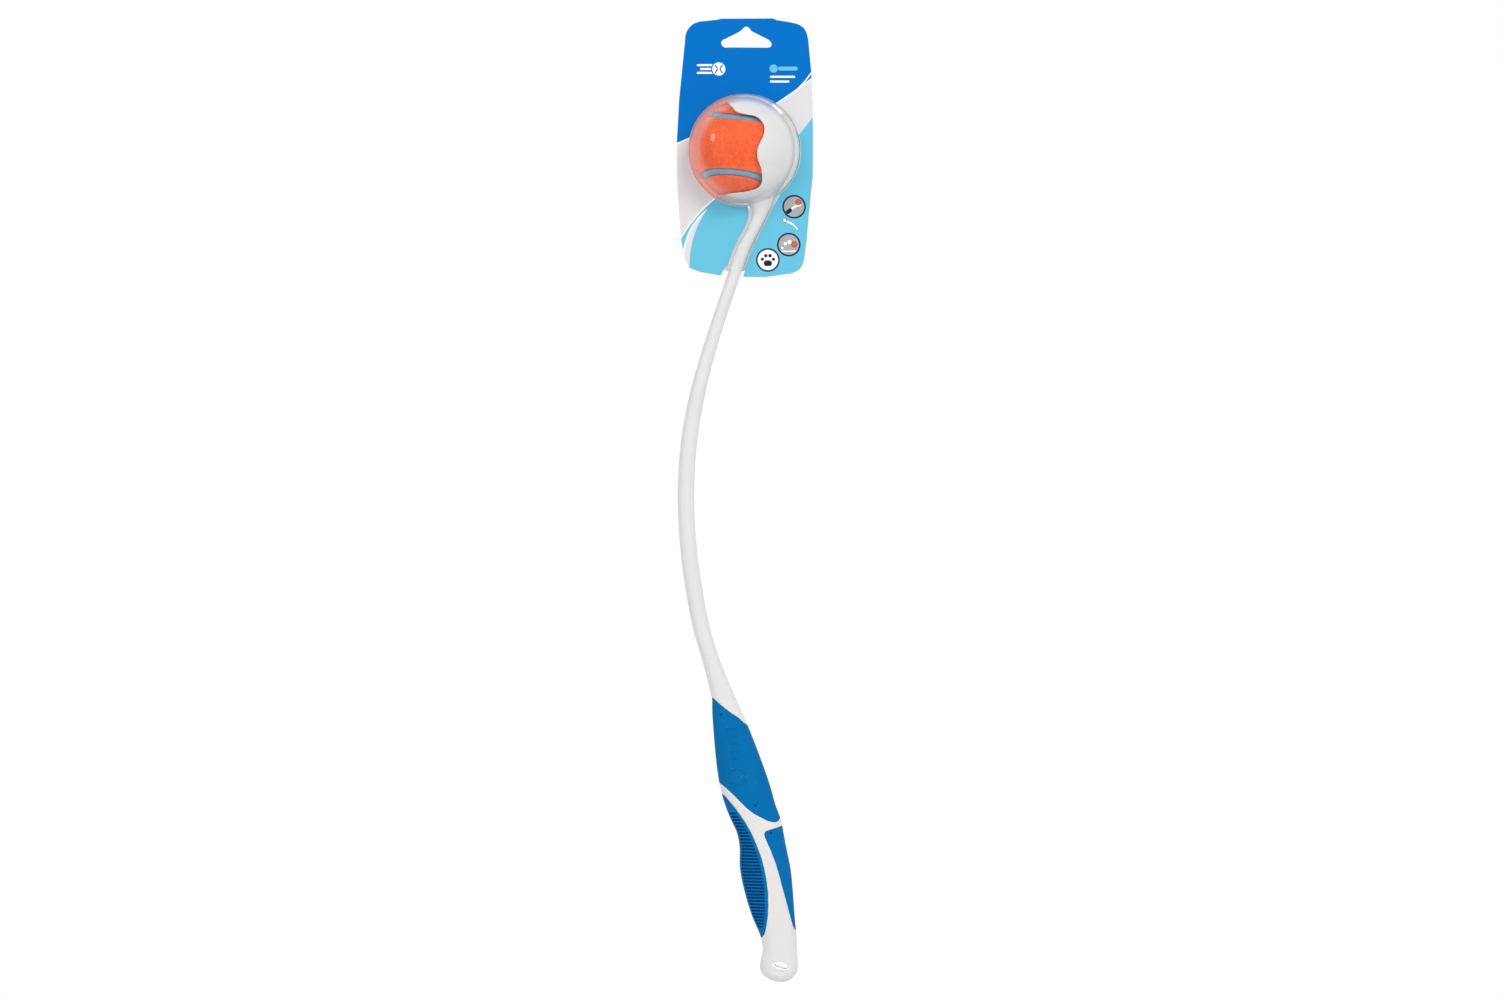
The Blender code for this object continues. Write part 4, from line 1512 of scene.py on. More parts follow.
@dataclass(frozen=True)
class SoftGrips:
    """The three soft grips, flush with the handle, and the pockets that they are moulded into."""

    form: ArmForm
    thickness: float = 0.0020
    gap: float = 0.00005
    span_shares: Pair = (0.94, 0.93)
    outline_step: float = 0.0006
    voxel: float = 0.00030
    rounds: int = 2
    triangles: int = 90000
    rib_count: int = 36
    rib_span_shares: Pair = (0.401, 0.802)
    rib_width: float = 0.0011
    rib_depth: float = 0.0010
    rib_border: float = 0.0021
    rib_edge_share: float = -0.92
    shortest_rib: float = 0.0016
    dimple_radius: float = 0.0007
    dimple_depth: float = 0.0009
    dimple_sides: int = 24
    emboss_height: float = 0.00045
    ring_place_shares: Pair = (0.270, -0.216)
    ring_radius: float = 0.0057
    ring_line: float = 0.0009
    ring_sides: int = 64
    bar_from_shares: Pair = (0.100, 0.02)
    bar_to_shares: Pair = (0.205, -0.12)
    bar_lengths: tuple[float, ...] = (0.0072, 0.0064, 0.0057, 0.0050, 0.0042)
    bar_height: float = 0.0012
    dimple_shares: Table = ((0.051, -0.41), (0.372, 0.204), (0.470, 0.465), (0.606, -0.243))
    upper_top_shares: Table = (
        (-0.014, -1.30), (-0.008, -0.98), (0.000, -0.74), (0.021, -0.24), (0.043, 0.23),
        (0.064, 0.65), (0.085, 0.91), (0.097, 1.30),
    )
    upper_foot_shares: Table = (
        (0.414, 1.30), (0.420, 0.98), (0.429, 0.84), (0.431, 0.70), (0.426, 0.46), (0.404, 0.08),
        (0.383, -0.15), (0.362, -0.32), (0.340, -0.49), (0.319, -0.68), (0.298, -0.91),
        (0.284, -1.30),
    )
    finger_shares: Table = (
        (0.312, -1.30), (0.340, -0.885), (0.383, -0.624), (0.426, -0.475), (0.468, -0.380),
        (0.511, -0.260), (0.553, -0.125), (0.596, -0.045), (0.638, -0.018), (0.681, -0.039),
        (0.723, -0.120), (0.766, -0.269), (0.809, -0.559), (0.830, -0.769), (0.860, -1.30),
    )
    palm_shares: Table = (
        (0.441, 1.30), (0.446, 0.98), (0.460, 0.375), (0.465, 0.225), (0.474, 0.165),
        (0.489, 0.180), (0.532, 0.324), (0.574, 0.440), (0.617, 0.520), (0.660, 0.585),
        (0.702, 0.668), (0.745, 0.750), (0.787, 0.835), (0.809, 0.910), (0.845, 1.30),
    )

    @property
    def edges(self) -> dict[str, tuple[Table, ...]]:
        """The edges of each grip, by the grip's name."""
        return {
            "upper_grip": (self.upper_top_shares, self.upper_foot_shares),
            "finger_grip": (self.finger_shares,),
            "palm_grip": (self.palm_shares,),
        }

    def outline(self, edges: tuple[Table, ...], draw_in: float) -> list[Pair]:
        """A grip's outline in the front view.

        Args:
            edges: Its edges, as shares of the handle.
            draw_in: How far it is drawn in all round.

        Returns:
            The outline's points.
        """
        points = inset([self.form.on_handle(*share) for edge in edges for share in edge], draw_in)
        found: list[Pair] = []
        for edge in edges:
            found += smooth_outline(points[: len(edge)], self.outline_step)
            points = points[len(edge) :]
        return found

    def body(self, name: str, grow: float) -> Object:
        """The handle as a solid, larger all round by a length."""
        return loft(name, self.form.rings(grow, *self.span_shares))

    @property
    def reach(self) -> float:
        """How far a cutter reaches through the handle on each side."""
        return self.form.handle_depth / 2 + self.form.overrun

    def pockets(self) -> list[Object]:
        """The solids that the grips' pockets are cut with."""
        found = []
        for name, edges in self.edges.items():
            pocket = prism(f"{name}_pocket", self.outline(edges, 0.0), -self.reach, self.reach)
            combine(pocket, self.body("bed", -self.thickness - self.gap), Join.CUT)
            found.append(pocket)
        return found

    def in_skin(self, shape: Object, depth: float) -> Object:
        """A cutter that reaches only a depth into the handle's skin, from both sides."""
        return combine(shape, self.body("under", -depth), Join.CUT)

    def ribs(self) -> Object:
        """The level grooves across the finger grip."""
        first, last = self.rib_span_shares
        edge = [row for row in self.finger_shares if abs(row[1]) < 1]
        grooves = []
        for rib in range(self.rib_count):
            down = first + (last - first) * rib / (self.rib_count - 1)
            centre_x, half_width, _, z = self.form.handle_section(down)
            left = centre_x + self.rib_edge_share * half_width
            right = centre_x + read_table(edge, down)[0] * half_width - self.rib_border
            low, high = z - self.rib_width / 2, z + self.rib_width / 2
            if right - left >= self.shortest_rib:
                grooves.append([(left, low), (right, low), (right, high), (left, high)])
        return self.in_skin(prisms("ribs", grooves, -self.reach, self.reach), self.rib_depth)

    def dimples(self) -> Object:
        """The round marks that the mould's support pins leave."""
        places = [self.form.on_handle(*share) for share in self.dimple_shares]
        pins = [circle(place, self.dimple_radius, self.dimple_sides) for place in places]
        return self.in_skin(prisms("dimples", pins, -self.reach, self.reach), self.dimple_depth)

    def emboss(self) -> Object:
        """A plain ring and a row of bars, which stand proud of the upper grip."""
        centre = self.form.on_handle(*self.ring_place_shares)
        outer = circle(centre, self.ring_radius, self.ring_sides)
        inner = circle(centre, self.ring_radius - self.ring_line, self.ring_sides)
        shape = prism("emboss", outer, -self.reach, self.reach)
        combine(shape, prism("ring_inside", inner, -2 * self.reach, 2 * self.reach), Join.CUT)
        ends = (self.bar_from_shares, self.bar_to_shares)
        start, end = (Vector(self.form.on_handle(*share)) for share in ends)
        along = (end - start).normalized()
        beside = Vector((-along.y, along.x))
        for index, length in enumerate(self.bar_lengths):
            middle = start.lerp(end, index / (len(self.bar_lengths) - 1))
            half, thick = beside * length / 2, along * self.bar_height / 2
            left, right = middle - half, middle + half
            corners = [left - thick, right - thick, right + thick, left + thick]
            bar = prism("bar", [tuple(corner) for corner in corners], -self.reach, self.reach)
            combine(shape, bar, Join.UNION)
        return combine(shape, self.body("proud", self.emboss_height), Join.TRIM)

    def build(self, finish: SoftRubber) -> None:
        """Build and dress the three grips.

        Args:
            finish: The rubber that they are made of.
        """
        for name, edges in self.edges.items():
            grip = self.body(f"{name}_skin", 0.0)
            trim = prism("trim", self.outline(edges, self.gap), -self.reach, self.reach)
            combine(grip, trim, Join.TRIM)
            if name == "upper_grip":
                combine(grip, self.emboss(), Join.UNION)
            if name == "finger_grip":
                combine(grip, self.ribs(), Join.CUT)
            combine(grip, self.dimples(), Join.CUT)
            combine(grip, self.body("bed", -self.thickness), Join.CUT)
            soften(grip, self.voxel, self.rounds, self.triangles)
            mark_depth(grip, self.form)
            dress(grip, "thrower", "grip_rubber", finish.material(f"{name}_rubber"), name)


@dataclass(frozen=True)
class ThrowingArm:
    """The white moulding: cup, shaft and the core of the handle in one piece."""

    form: ArmForm
    voxel: float = 0.00055
    rounds: int = 3
    triangles: int = 150000
    outline_step: float = 0.0006
    scoop_place_shares: Pair = (0.966, 0.02)
    scoop_size: Triple = (0.0085, 0.0042, 0.0036)
    scoop_depth: float = 0.0011
    scoop_segments: int = 48
    rim_shares: Table = (
        (-0.319, 0.913), (-0.184, 0.774), (-0.101, 0.672), (0.084, 0.616), (0.240, 0.586),
        (0.334, 0.528), (0.401, 0.434), (0.420, 0.343), (0.396, 0.210), (0.334, 0.075),
        (0.296, -0.019), (0.285, -0.150), (0.302, -0.242), (0.358, -0.385), (0.371, -0.475),
        (0.377, -0.583), (0.366, -0.655), (0.313, -0.730), (0.191, -0.782), (0.041, -0.812),
        (-0.184, -0.835), (-0.409, -0.865),
    )
    mouth_shares: Table = ((-0.590, -0.961), (-1.30, -0.961), (-1.30, 1.20), (-0.398, 1.20))
    slot_shares: Table = (
        (0.935, -0.31), (0.929, -0.18), (0.927, 0.05), (0.929, 0.24), (0.937, 0.40), (0.949, 0.48),
        (0.953, 0.38), (0.950, 0.16), (0.943, -0.13),
    )

    def curve(self, place: Callable[..., Pair], shares: Table) -> list[Pair]:
        """A smooth curve in the front view through a table of shares."""
        return smooth_outline([place(*share) for share in shares], self.outline_step)

    def mouth(self) -> Object:
        """The solid that opens the cup at the front, at the back and to the left."""
        outline = self.curve(self.form.on_cup, self.rim_shares)
        outline += [self.form.on_cup(*share) for share in self.mouth_shares]
        reach = self.form.cup_outer + self.form.overrun
        return prism("mouth", outline, -reach, reach)

    def slot(self) -> Object:
        """The lanyard slot near the end of the handle."""
        reach = self.form.handle_depth / 2 + self.form.overrun
        return prism("slot", self.curve(self.form.on_handle, self.slot_shares), -reach, reach)

    def scoop(self, side: Side) -> Object:
        """Shape the shallow hollow below the slot.

        Args:
            side: The side of the handle that it is on.

        Returns:
            The solid that it is cut with.
        """
        down, across = self.scoop_place_shares
        x, z = self.form.on_handle(down, across)
        half_depth = self.form.handle_section(down)[2]
        width, depth, height = self.scoop_size
        hollow = sphere("scoop", Vector((0, 0, 0)), 1.0, self.scoop_segments)
        y = side.value * (half_depth + depth - self.scoop_depth)
        for vertex in hollow.data.vertices:
            across, through, up = vertex.co
            vertex.co = (x + across * width, y + through * depth, z + up * height)
        return hollow

    def build(self, pockets: Sequence[Object], finish: MouldedPlastic) -> None:
        """Build and dress the moulding.

        Args:
            pockets: The solids that the grips' pockets are cut with.
            finish: The plastic that it is made of.
        """
        form = self.form
        arm = loft("arm_moulding", form.rings())
        combine(arm, sphere("cup_outside", form.ball_centre, form.cup_outer), Join.UNION)
        combine(arm, sphere("cup_inside", form.ball_centre, form.cup_inner), Join.CUT)
        cutters = [self.mouth(), self.slot(), *(self.scoop(side) for side in Side), *pockets]
        for cutter in cutters:
            combine(arm, cutter, Join.CUT)
        soften(arm, self.voxel, self.rounds, self.triangles)
        mark_depth(arm, form)
        dress(arm, "thrower", "white_plastic", finish.material("arm_plastic"), "throwing_arm")


@dataclass(frozen=True)
class FeltBall:
    """The ball: two felt panels, the seam between them and the two halves of the core."""

    form: ArmForm
    felt_thickness: float = 0.0028
    core_gap: float = 0.0005
    core_wall: float = 0.0035
    gap: float = 0.0003
    seam_width: float = 0.0050
    seam_sink: float = 0.0006
    seam_crown: float = 0.00025
    seam_crown_shares: tuple[float, ...] = (-1.0, -0.94, -0.6, -0.2, 0.2, 0.6, 0.94, 1.0)
    seam_edge_drop: float = 0.0003
    seam_ripple: float = 0.00006
    seam_ripples: float = 14.0
    seam_rise: float = 55.1
    seam_sway: float = 17.0
    turn_degrees: Triple = (-95.8, -39.5, -5.5)
    edge_round: float = 0.0010
    nap_height: float = 0.00016
    nap_stand: float = 0.00040
    nap_sizes: Pair = (0.0011, 0.0045)
    nap_shares: Triple = (0.5, 0.3, 0.45)
    seam_steps: int = 360
    seam_samples: int = 720
    nudges_a_step: int = 100
    panel_rows: int = 150
    panel_columns: int = 64
    crowding_share: float = 0.11
    narrowest_row: float = 1e-5
    core_segments: int = 72
    core_rings: int = 18
    core_crease: float = 40.0

    @property
    def felt_inner(self) -> float:
        """Radius of the felt's inner face."""
        return self.form.ball_radius - self.felt_thickness

    def seam_point(self, turn: float) -> Vector:
        """The seam's curve on a unit sphere.

        Args:
            turn: The angle round the curve.

        Returns:
            The point of the curve at that angle.
        """
        height = math.radians(self.seam_rise) * math.sin(2 * turn)
        heading = turn - math.radians(self.seam_sway) * math.sin(4 * turn)
        across, along = math.cos(height) * math.cos(heading), math.cos(height) * math.sin(heading)
        return Vector((across, along, math.sin(height)))

    def beside_seam(self, turn: float, distance: float) -> Vector:
        """A point beside the seam, on a unit sphere.

        Args:
            turn: The angle round the seam.
            distance: How far the point is from its middle, over the ball's surface.

        Returns:
            The point.
        """
        nudge = math.tau / self.seam_steps / self.nudges_a_step
        here = self.seam_point(turn)
        along = (self.seam_point(turn + nudge) - self.seam_point(turn - nudge)).normalized()
        angle = distance / self.form.ball_radius
        return here * math.cos(angle) + here.cross(along) * math.sin(angle)

    def placed(self, points: Sequence[Vector]) -> list[Triple]:
        """Points of the ball, turned the way that it lies in the cup."""
        turn = Euler([math.radians(angle) for angle in self.turn_degrees], "XYZ").to_matrix()
        return [tuple(self.form.ball_centre + turn @ point) for point in points]

    def nap(self, way: Vector) -> float:
        """Measure how far the nap stands above the ball's nominal surface.

        Args:
            way: The direction from the ball's centre.

        Returns:
            The height of the nap there.
        """
        place = way * self.form.ball_radius
        fine, coarse = (noise.noise(place / size) for size in self.nap_sizes)
        plain, fine_share, coarse_share = self.nap_shares
        return self.nap_stand - self.nap_height * (plain + fine_share * fine + coarse_share * coarse)

    def panel(self, name: str, middle: float, side: int) -> Object:
        """A felt panel, rounded over at its edge and covered in nap.

        Args:
            name: The panel's name.
            middle: The angle round the seam that the panel lies about.
            side: The side of the seam that it lies on, 1 or -1.

        Returns:
            The panel.
        """
        edge = side * (self.seam_width + self.gap) / 2
        samples = self.seam_samples
        seam = np.array([self.seam_point(math.tau * sample / samples) for sample in range(samples)])
        ways = []
        for row in range(self.panel_rows + 1):
            turn = math.pi * row / self.panel_rows
            left, right = self.beside_seam(middle - turn, edge), self.beside_seam(middle + turn, edge)
            for column in range(self.panel_columns + 1):
                share = column / self.panel_columns
                share -= self.crowding_share * math.sin(math.tau * share)
                apart = left.angle(right, 0.0)
                ways.append((left.slerp(right, share) if apart > self.narrowest_row else left).normalized())
        nearest = np.arccos(np.clip(np.array(ways) @ seam.T, -1, 1).max(axis=1)) * self.form.ball_radius
        outer, inner = [], []
        for way, distance in zip(ways, nearest):
            inside = min(1.0, max(0.0, distance - abs(edge)) / self.edge_round)
            drop = self.edge_round * (1 - math.sqrt(max(0.0, 1 - (1 - inside) ** 2)))
            outer.append(way * (self.form.ball_radius - drop + self.nap(way)))
            inner.append(way * self.felt_inner)
        rows, columns = self.panel_rows + 1, self.panel_columns + 1
        faces = grid_faces(rows, columns, False, False)
        count = rows * columns
        faces += [tuple(count + corner for corner in face) for face in faces]
        for column in (0, columns - 1):
            for row in range(rows - 1):
                here, after = row * columns + column, (row + 1) * columns + column
                faces.append((here, after, count + after, count + here))
        return solid(name, self.placed(outer + inner), faces)

    def seam(self) -> Object:
        """The rubber seam, one closed band that is slightly crowned."""
        half = (self.seam_width - self.gap) / 2
        top = self.form.ball_radius - self.seam_sink
        shares = self.seam_crown_shares
        points = []
        for step in range(self.seam_steps):
            turn = math.tau * step / self.seam_steps
            ripple = self.seam_ripple * noise.noise(self.seam_point(turn) * self.seam_ripples)
            for share in shares:
                drop = self.seam_edge_drop if abs(share) == 1 else 0
                crown = self.seam_crown * share * share + drop
                points.append(self.beside_seam(turn, half * share) * (top - crown + ripple))
            points += [self.beside_seam(turn, half * share) * self.felt_inner for share in (1, -1)]
        faces = grid_faces(self.seam_steps, len(shares) + 2, True, True)
        return solid("seam_band", self.placed(points), faces)

    def core_arc(self, radius: float) -> list[Pair]:
        """Round one face of a core half, from just over the cemented joint to the top.

        Args:
            radius: The radius of the face.

        Returns:
            Its (out, up) points.
        """
        start = math.asin(self.gap / 2 / radius)
        steps = range(self.core_rings + 1)
        turns = [start + (math.pi / 2 - start) * step / self.core_rings for step in steps]
        return [(max(radius * math.cos(turn), 0), radius * math.sin(turn)) for turn in turns]

    def core_half(self, name: str, side: int) -> Object:
        """One moulded half of the hollow core.

        Args:
            name: Its name.
            side: The side of the cemented joint that it is on, 1 or -1.

        Returns:
            The half.
        """
        outside = self.felt_inner - self.core_gap
        profile = self.core_arc(outside) + self.core_arc(outside - self.core_wall)[::-1]
        points = []
        for out, up in profile:
            points += [Vector((x, y, side * up)) for x, y in circle((0, 0), out, self.core_segments)]
        return solid(name, self.placed(points), grid_faces(len(profile), self.core_segments, True, True))

    def build(self, felt: NappedFelt, seam: CuredRubber, core: CuredRubber) -> None:
        """Build and dress the ball's five pieces.

        Args:
            felt: The cover's felt.
            seam: The seam's rubber.
            core: The core's rubber.
        """
        cover = felt.material("cover_felt")
        for letter, middle, side in (("a", math.pi * 3 / 4, 1), ("b", math.pi / 4, -1)):
            panel = self.panel(f"felt_{letter}", middle, side)
            panel.data.shade_smooth()
            dress(panel, "ball", "ball_felt", cover, f"felt_panel_{letter}")
        band = self.seam()
        band.data.shade_smooth()
        dress(band, "ball", "seam_rubber", seam.material("seam_band_rubber"), "ball_seam")
        black = core.material("core_shell_rubber")
        for letter, side in (("a", 1), ("b", -1)):
            half = self.core_half(f"core_{letter}", side)
            half.data.shade_smooth()
            half.data.set_sharp_from_angle(angle=math.radians(self.core_crease))
            dress(half, "ball", "core_rubber", black, f"core_half_{letter}")


@dataclass(frozen=True)
class ShopPack:
    """The pack: two printed leaves of card and two clear shells, which meet round the thrower."""

    form: ArmForm
    card_border: float = 0.0032
    card_height: float = 0.1710
    card_top_rise: float = 0.0057
    card_thickness: float = 0.0004
    hole_width: float = 0.0334
    hole_height: float = 0.0139
    shell_thickness: float = 0.00035
    dome_shift: float = 0.0018
    dome_side_room: float = 0.0020
    dome_front_room: float = 0.0019
    dome_power: float = 2.3
    channel_room: float = 0.0018
    channel_end_rise: float = 0.0039
    channel_top_share: float = 0.02
    flange_width: float = 0.0045
    foot_round: float = 0.0002
    dome_foot_steps: int = 6
    channel_foot_steps: int = 4
    dome_steps: int = 64
    fit_gap: float = 0.0003
    window_gap: float = 0.0001
    sheet_gap: float = 0.0002
    segments: int = 160
    voxel: float = 0.0007
    rounds: int = 3
    skin_triangles: int = 52000
    shell_crease: float = 60.0
    card_crease: float = 35.0
    outline_step: float = 0.0012
    card_shares: Table = (
        (-0.375, 0.003), (0.390, 0.002), (0.438, 0.008), (0.649, 0.017), (0.785, 0.028),
        (0.866, 0.048), (0.907, 0.083), (0.954, 0.215), (0.972, 0.330), (0.978, 0.470),
        (0.974, 0.610), (0.951, 0.664), (0.879, 0.871), (0.846, 0.933), (0.787, 0.968),
        (0.656, 0.986), (0.262, 1.000), (-0.032, 0.999), (-0.396, 0.993), (-0.684, 0.980),
        (-0.841, 0.964), (-0.921, 0.919), (-0.959, 0.857), (-0.985, 0.768), (-1.012, 0.664),
        (-1.022, 0.600), (-1.022, 0.470), (-0.990, 0.315), (-0.896, 0.066), (-0.860, 0.044),
        (-0.779, 0.023), (-0.684, 0.014), (-0.432, 0.007),
    )
    hole_shares: Table = (
        (0.00, 0.00), (0.10, 0.06), (0.21, 0.22), (0.83, 0.60), (0.93, 0.69), (0.99, 0.83),
        (0.96, 0.95), (0.84, 1.00), (-0.86, 0.99), (-0.96, 0.91), (-1.00, 0.78), (-0.96, 0.66),
        (-0.31, 0.26), (-0.21, 0.18), (-0.10, 0.05),
    )
    notch_shares: Table = ((-0.303, 0.957), (-0.400, 1.005), (-0.150, 1.005))

    @property
    def dome_centre(self) -> Vector:
        """Centre of the dome's foot."""
        return self.form.ball_centre + Vector((self.dome_shift, 0, 0))

    @property
    def dome_radius(self) -> float:
        """Radius of the dome at its foot."""
        return self.form.cup_outer + self.dome_side_room

    @property
    def dome_height(self) -> float:
        """Height of the dome's top above the middle of the card."""
        return self.form.cup_outer + self.dome_front_room

    @property
    def card_width(self) -> float:
        """Nominal width of the card."""
        return 2 * (self.dome_radius + self.flange_width + self.card_border)

    @property
    def card_foot_z(self) -> float:
        """Height of the card's lower edge."""
        return self.card_top_rise - self.card_height

    @property
    def channel_end_z(self) -> float:
        """Height of the channel's lower end."""
        return self.card_foot_z + self.channel_end_rise

    @property
    def flange_top(self) -> float:
        """How far the flange's outer face is from the middle of the card."""
        return self.sheet_gap / 2 + self.shell_thickness

    def on_card(self, across: float, down: float) -> Pair:
        """The (x, z) point at shares of the card's half width and of its height."""
        return across * self.card_width / 2, self.card_top_rise - down * self.card_height

    def in_hole(self, across: float, down: float) -> Pair:
        """The (x, z) point at shares of the hang hole's half width and of its height."""
        return across * self.hole_width / 2, -down * self.hole_height

    def channel_sections(self, foot_z: float) -> list[tuple[float, ...]]:
        """Sections of the shaft, from inside the dome down to a height."""
        foot = (self.form.shaft_top[1] - foot_z) / self.form.shaft_length
        return [self.form.shaft_section(at) for at in self.form.shaft_places(self.channel_top_share, foot)]

    def channel(self, name: str, grow: float, foot_z: float) -> Object:
        """A solid round the shaft, larger than it by a length."""
        return loft(name, [self.form.ring(section, grow) for section in self.channel_sections(foot_z)])

    def keyhole(self, name: str, room: float, foot_z: float, depths: Pair) -> Object:
        """The outline of dome and channel, drawn out all round, as a solid.

        Args:
            name: The object's name.
            room: How far it is drawn out.
            foot_z: The height that it ends at.
            depths: Where it begins and ends along Y.

        Returns:
            The object.
        """
        radius, grow = self.dome_radius + room, self.channel_room + room
        sections = self.channel_sections(foot_z)
        right = [(centre_x + half_width + grow, z) for centre_x, half_width, _, z in sections]
        left = [(centre_x - half_width - grow, z) for centre_x, half_width, _, z in sections]
        centre = self.dome_centre
        shape = prism(name, circle((centre.x, centre.z), radius, self.segments), *depths)
        return combine(shape, prism("strip", right + left[::-1], *depths), Join.UNION)

    def foot(self, wide: float, steps: int) -> list[Pair]:
        """Round the foot of a wall.

        Args:
            wide: How far out the foot reaches on the flange.
            steps: How many steps the round has.

        Returns:
            Its (out, up) points, from below the flange to the top of the round.
        """
        points = [(wide, -self.foot_round)]
        for step in range(steps + 1):
            angle = -math.pi / 2 * (1 + step / steps)
            out, up = self.foot_round * math.cos(angle), self.foot_round * (1 + math.sin(angle))
            points.append((wide + out, self.flange_top + up))
        return points

    def dome(self) -> Object:
        """The outside of the dome as a solid, with a rounded foot."""
        wall_radius = self.dome_radius - self.foot_round
        base = self.flange_top + self.foot_round
        profile = [(0.0, -self.foot_round), *self.foot(self.dome_radius, self.dome_foot_steps)]
        for step in range(1, self.dome_steps + 1):
            angle = math.pi / 2 * step / self.dome_steps
            out = abs(math.cos(angle)) ** (2 / self.dome_power) if step < self.dome_steps else 0.0
            up = math.sin(angle) ** (2 / self.dome_power)
            profile.append((wall_radius * out, base + (self.dome_height - base) * up))
        return turned("dome", profile, self.dome_centre, self.segments)

    def channel_foot(self) -> Object:
        """The rounded foot along both sides of the channel."""
        rings = []
        for centre_x, half_width, _, z in self.channel_sections(self.channel_end_z):
            side = self.foot(half_width + self.channel_room, self.channel_foot_steps)
            outline = side + [(-out, up) for out, up in reversed(side)]
            rings.append([(centre_x + out, up, z) for out, up in outline])
        return loft("channel_foot", rings)

    def mould(self, side: Side) -> Object:
        """Shape the block that a half shell is drawn over, facing away from the viewer.

        Args:
            side: The half.

        Returns:
            The block, with one even skin.
        """
        depths = (-self.foot_round, self.flange_top)
        block = self.keyhole(f"shell_{side.word}", self.flange_width, self.channel_end_z, depths)
        wall = self.channel("channel", self.channel_room - self.foot_round, self.channel_end_z)
        for piece in (self.dome(), wall, self.channel_foot()):
            combine(block, piece, Join.UNION)
        return soften(block, self.voxel, self.rounds, self.skin_triangles)

    def shell(self, side: Side) -> Object:
        """Draw a clear half shell from one thin sheet: dome, channel and flange.

        Args:
            side: The half.

        Returns:
            The shell.
        """
        shell = self.mould(side)
        middle = self.sheet_gap / 2 + self.shell_thickness / 2
        plane = {"plane_co": (0, middle, 0), "plane_no": (0, 1, 0)}
        with opened(shell.data) as skin:
            everything = [*skin.verts, *skin.edges, *skin.faces]
            bmesh.ops.bisect_plane(skin, geom=everything, clear_inner=True, **plane)
        wall = shell.modifiers.new("wall", "SOLIDIFY")
        wall.thickness = self.shell_thickness
        wall.offset = -1
        settle(shell)
        for vertex in shell.data.vertices:
            vertex.co.y = max(vertex.co.y, self.sheet_gap / 2)
        way = self.channel("shaft_way", self.fit_gap, self.channel_end_z - self.form.overrun)
        combine(shell, way, Join.CUT)
        if side is Side.FRONT:
            with opened(shell.data) as mirrored:
                for vertex in mirrored.verts:
                    vertex.co.y = -vertex.co.y
                bmesh.ops.reverse_faces(mirrored, faces=mirrored.faces)
        shell.data.shade_smooth()
        shell.data.set_sharp_from_angle(angle=math.radians(self.shell_crease))
        return shell

    def leaf(self, side: Side) -> Object:
        """Cut one leaf of the card, with its window, its hang hole and a pocket for the flange.

        Args:
            side: The half that the leaf belongs to.

        Returns:
            The leaf.
        """
        way = side.value
        inner_face = self.sheet_gap / 2
        pocket_face = inner_face + self.shell_thickness + self.sheet_gap
        outer_face = pocket_face + self.card_thickness
        overrun = self.form.overrun
        corners = [self.on_card(*share) for share in self.card_shares]
        outline = smooth_outline(corners, self.outline_step, True)
        leaf = prism(f"card_{side.word}", outline, way * outer_face, way * inner_face)
        corners = [self.in_hole(*share) for share in self.hole_shares]
        hole = smooth_outline(corners, self.outline_step / 2, True)
        combine(leaf, prism("hole", hole, -overrun, overrun), Join.CUT)
        foot_z = self.card_foot_z - overrun
        combine(leaf, self.keyhole("window", self.window_gap, foot_z, (-overrun, overrun)), Join.CUT)
        notch = [self.on_card(*share) for share in self.notch_shares]
        combine(leaf, prism("notch", notch, -overrun, overrun), Join.CUT)
        room = self.fit_gap + self.flange_width
        depths = (way * pocket_face, -way * overrun)
        foot_z = self.channel_end_z - self.sheet_gap
        combine(leaf, self.keyhole("pocket", room, foot_z, depths), Join.CUT)
        leaf.data.shade_smooth()
        leaf.data.set_sharp_from_angle(angle=math.radians(self.card_crease))
        return leaf

    def build(self, clear: ClearSheet) -> None:
        """Build and dress both halves of the pack.

        Args:
            clear: The sheet that the shells are drawn from.
        """
        sheet = clear.material("clear_sheet")
        for side in Side:
            body = f"{side.word}_pack"
            board = PrintedBoard(side).material(f"{side.word}_print")
            dress(self.leaf(side), body, "printed_card", board, f"{side.word}_card")
            dress(self.shell(side), body, "clear_shell", sheet, f"{side.word}_blister")


# Studio


@dataclass(frozen=True)
class Softbox:
    """A square lamp, as its place, its size, its power and whether shiny surfaces mirror it."""

    place: Triple
    size: float
    power: float
    mirrored: bool


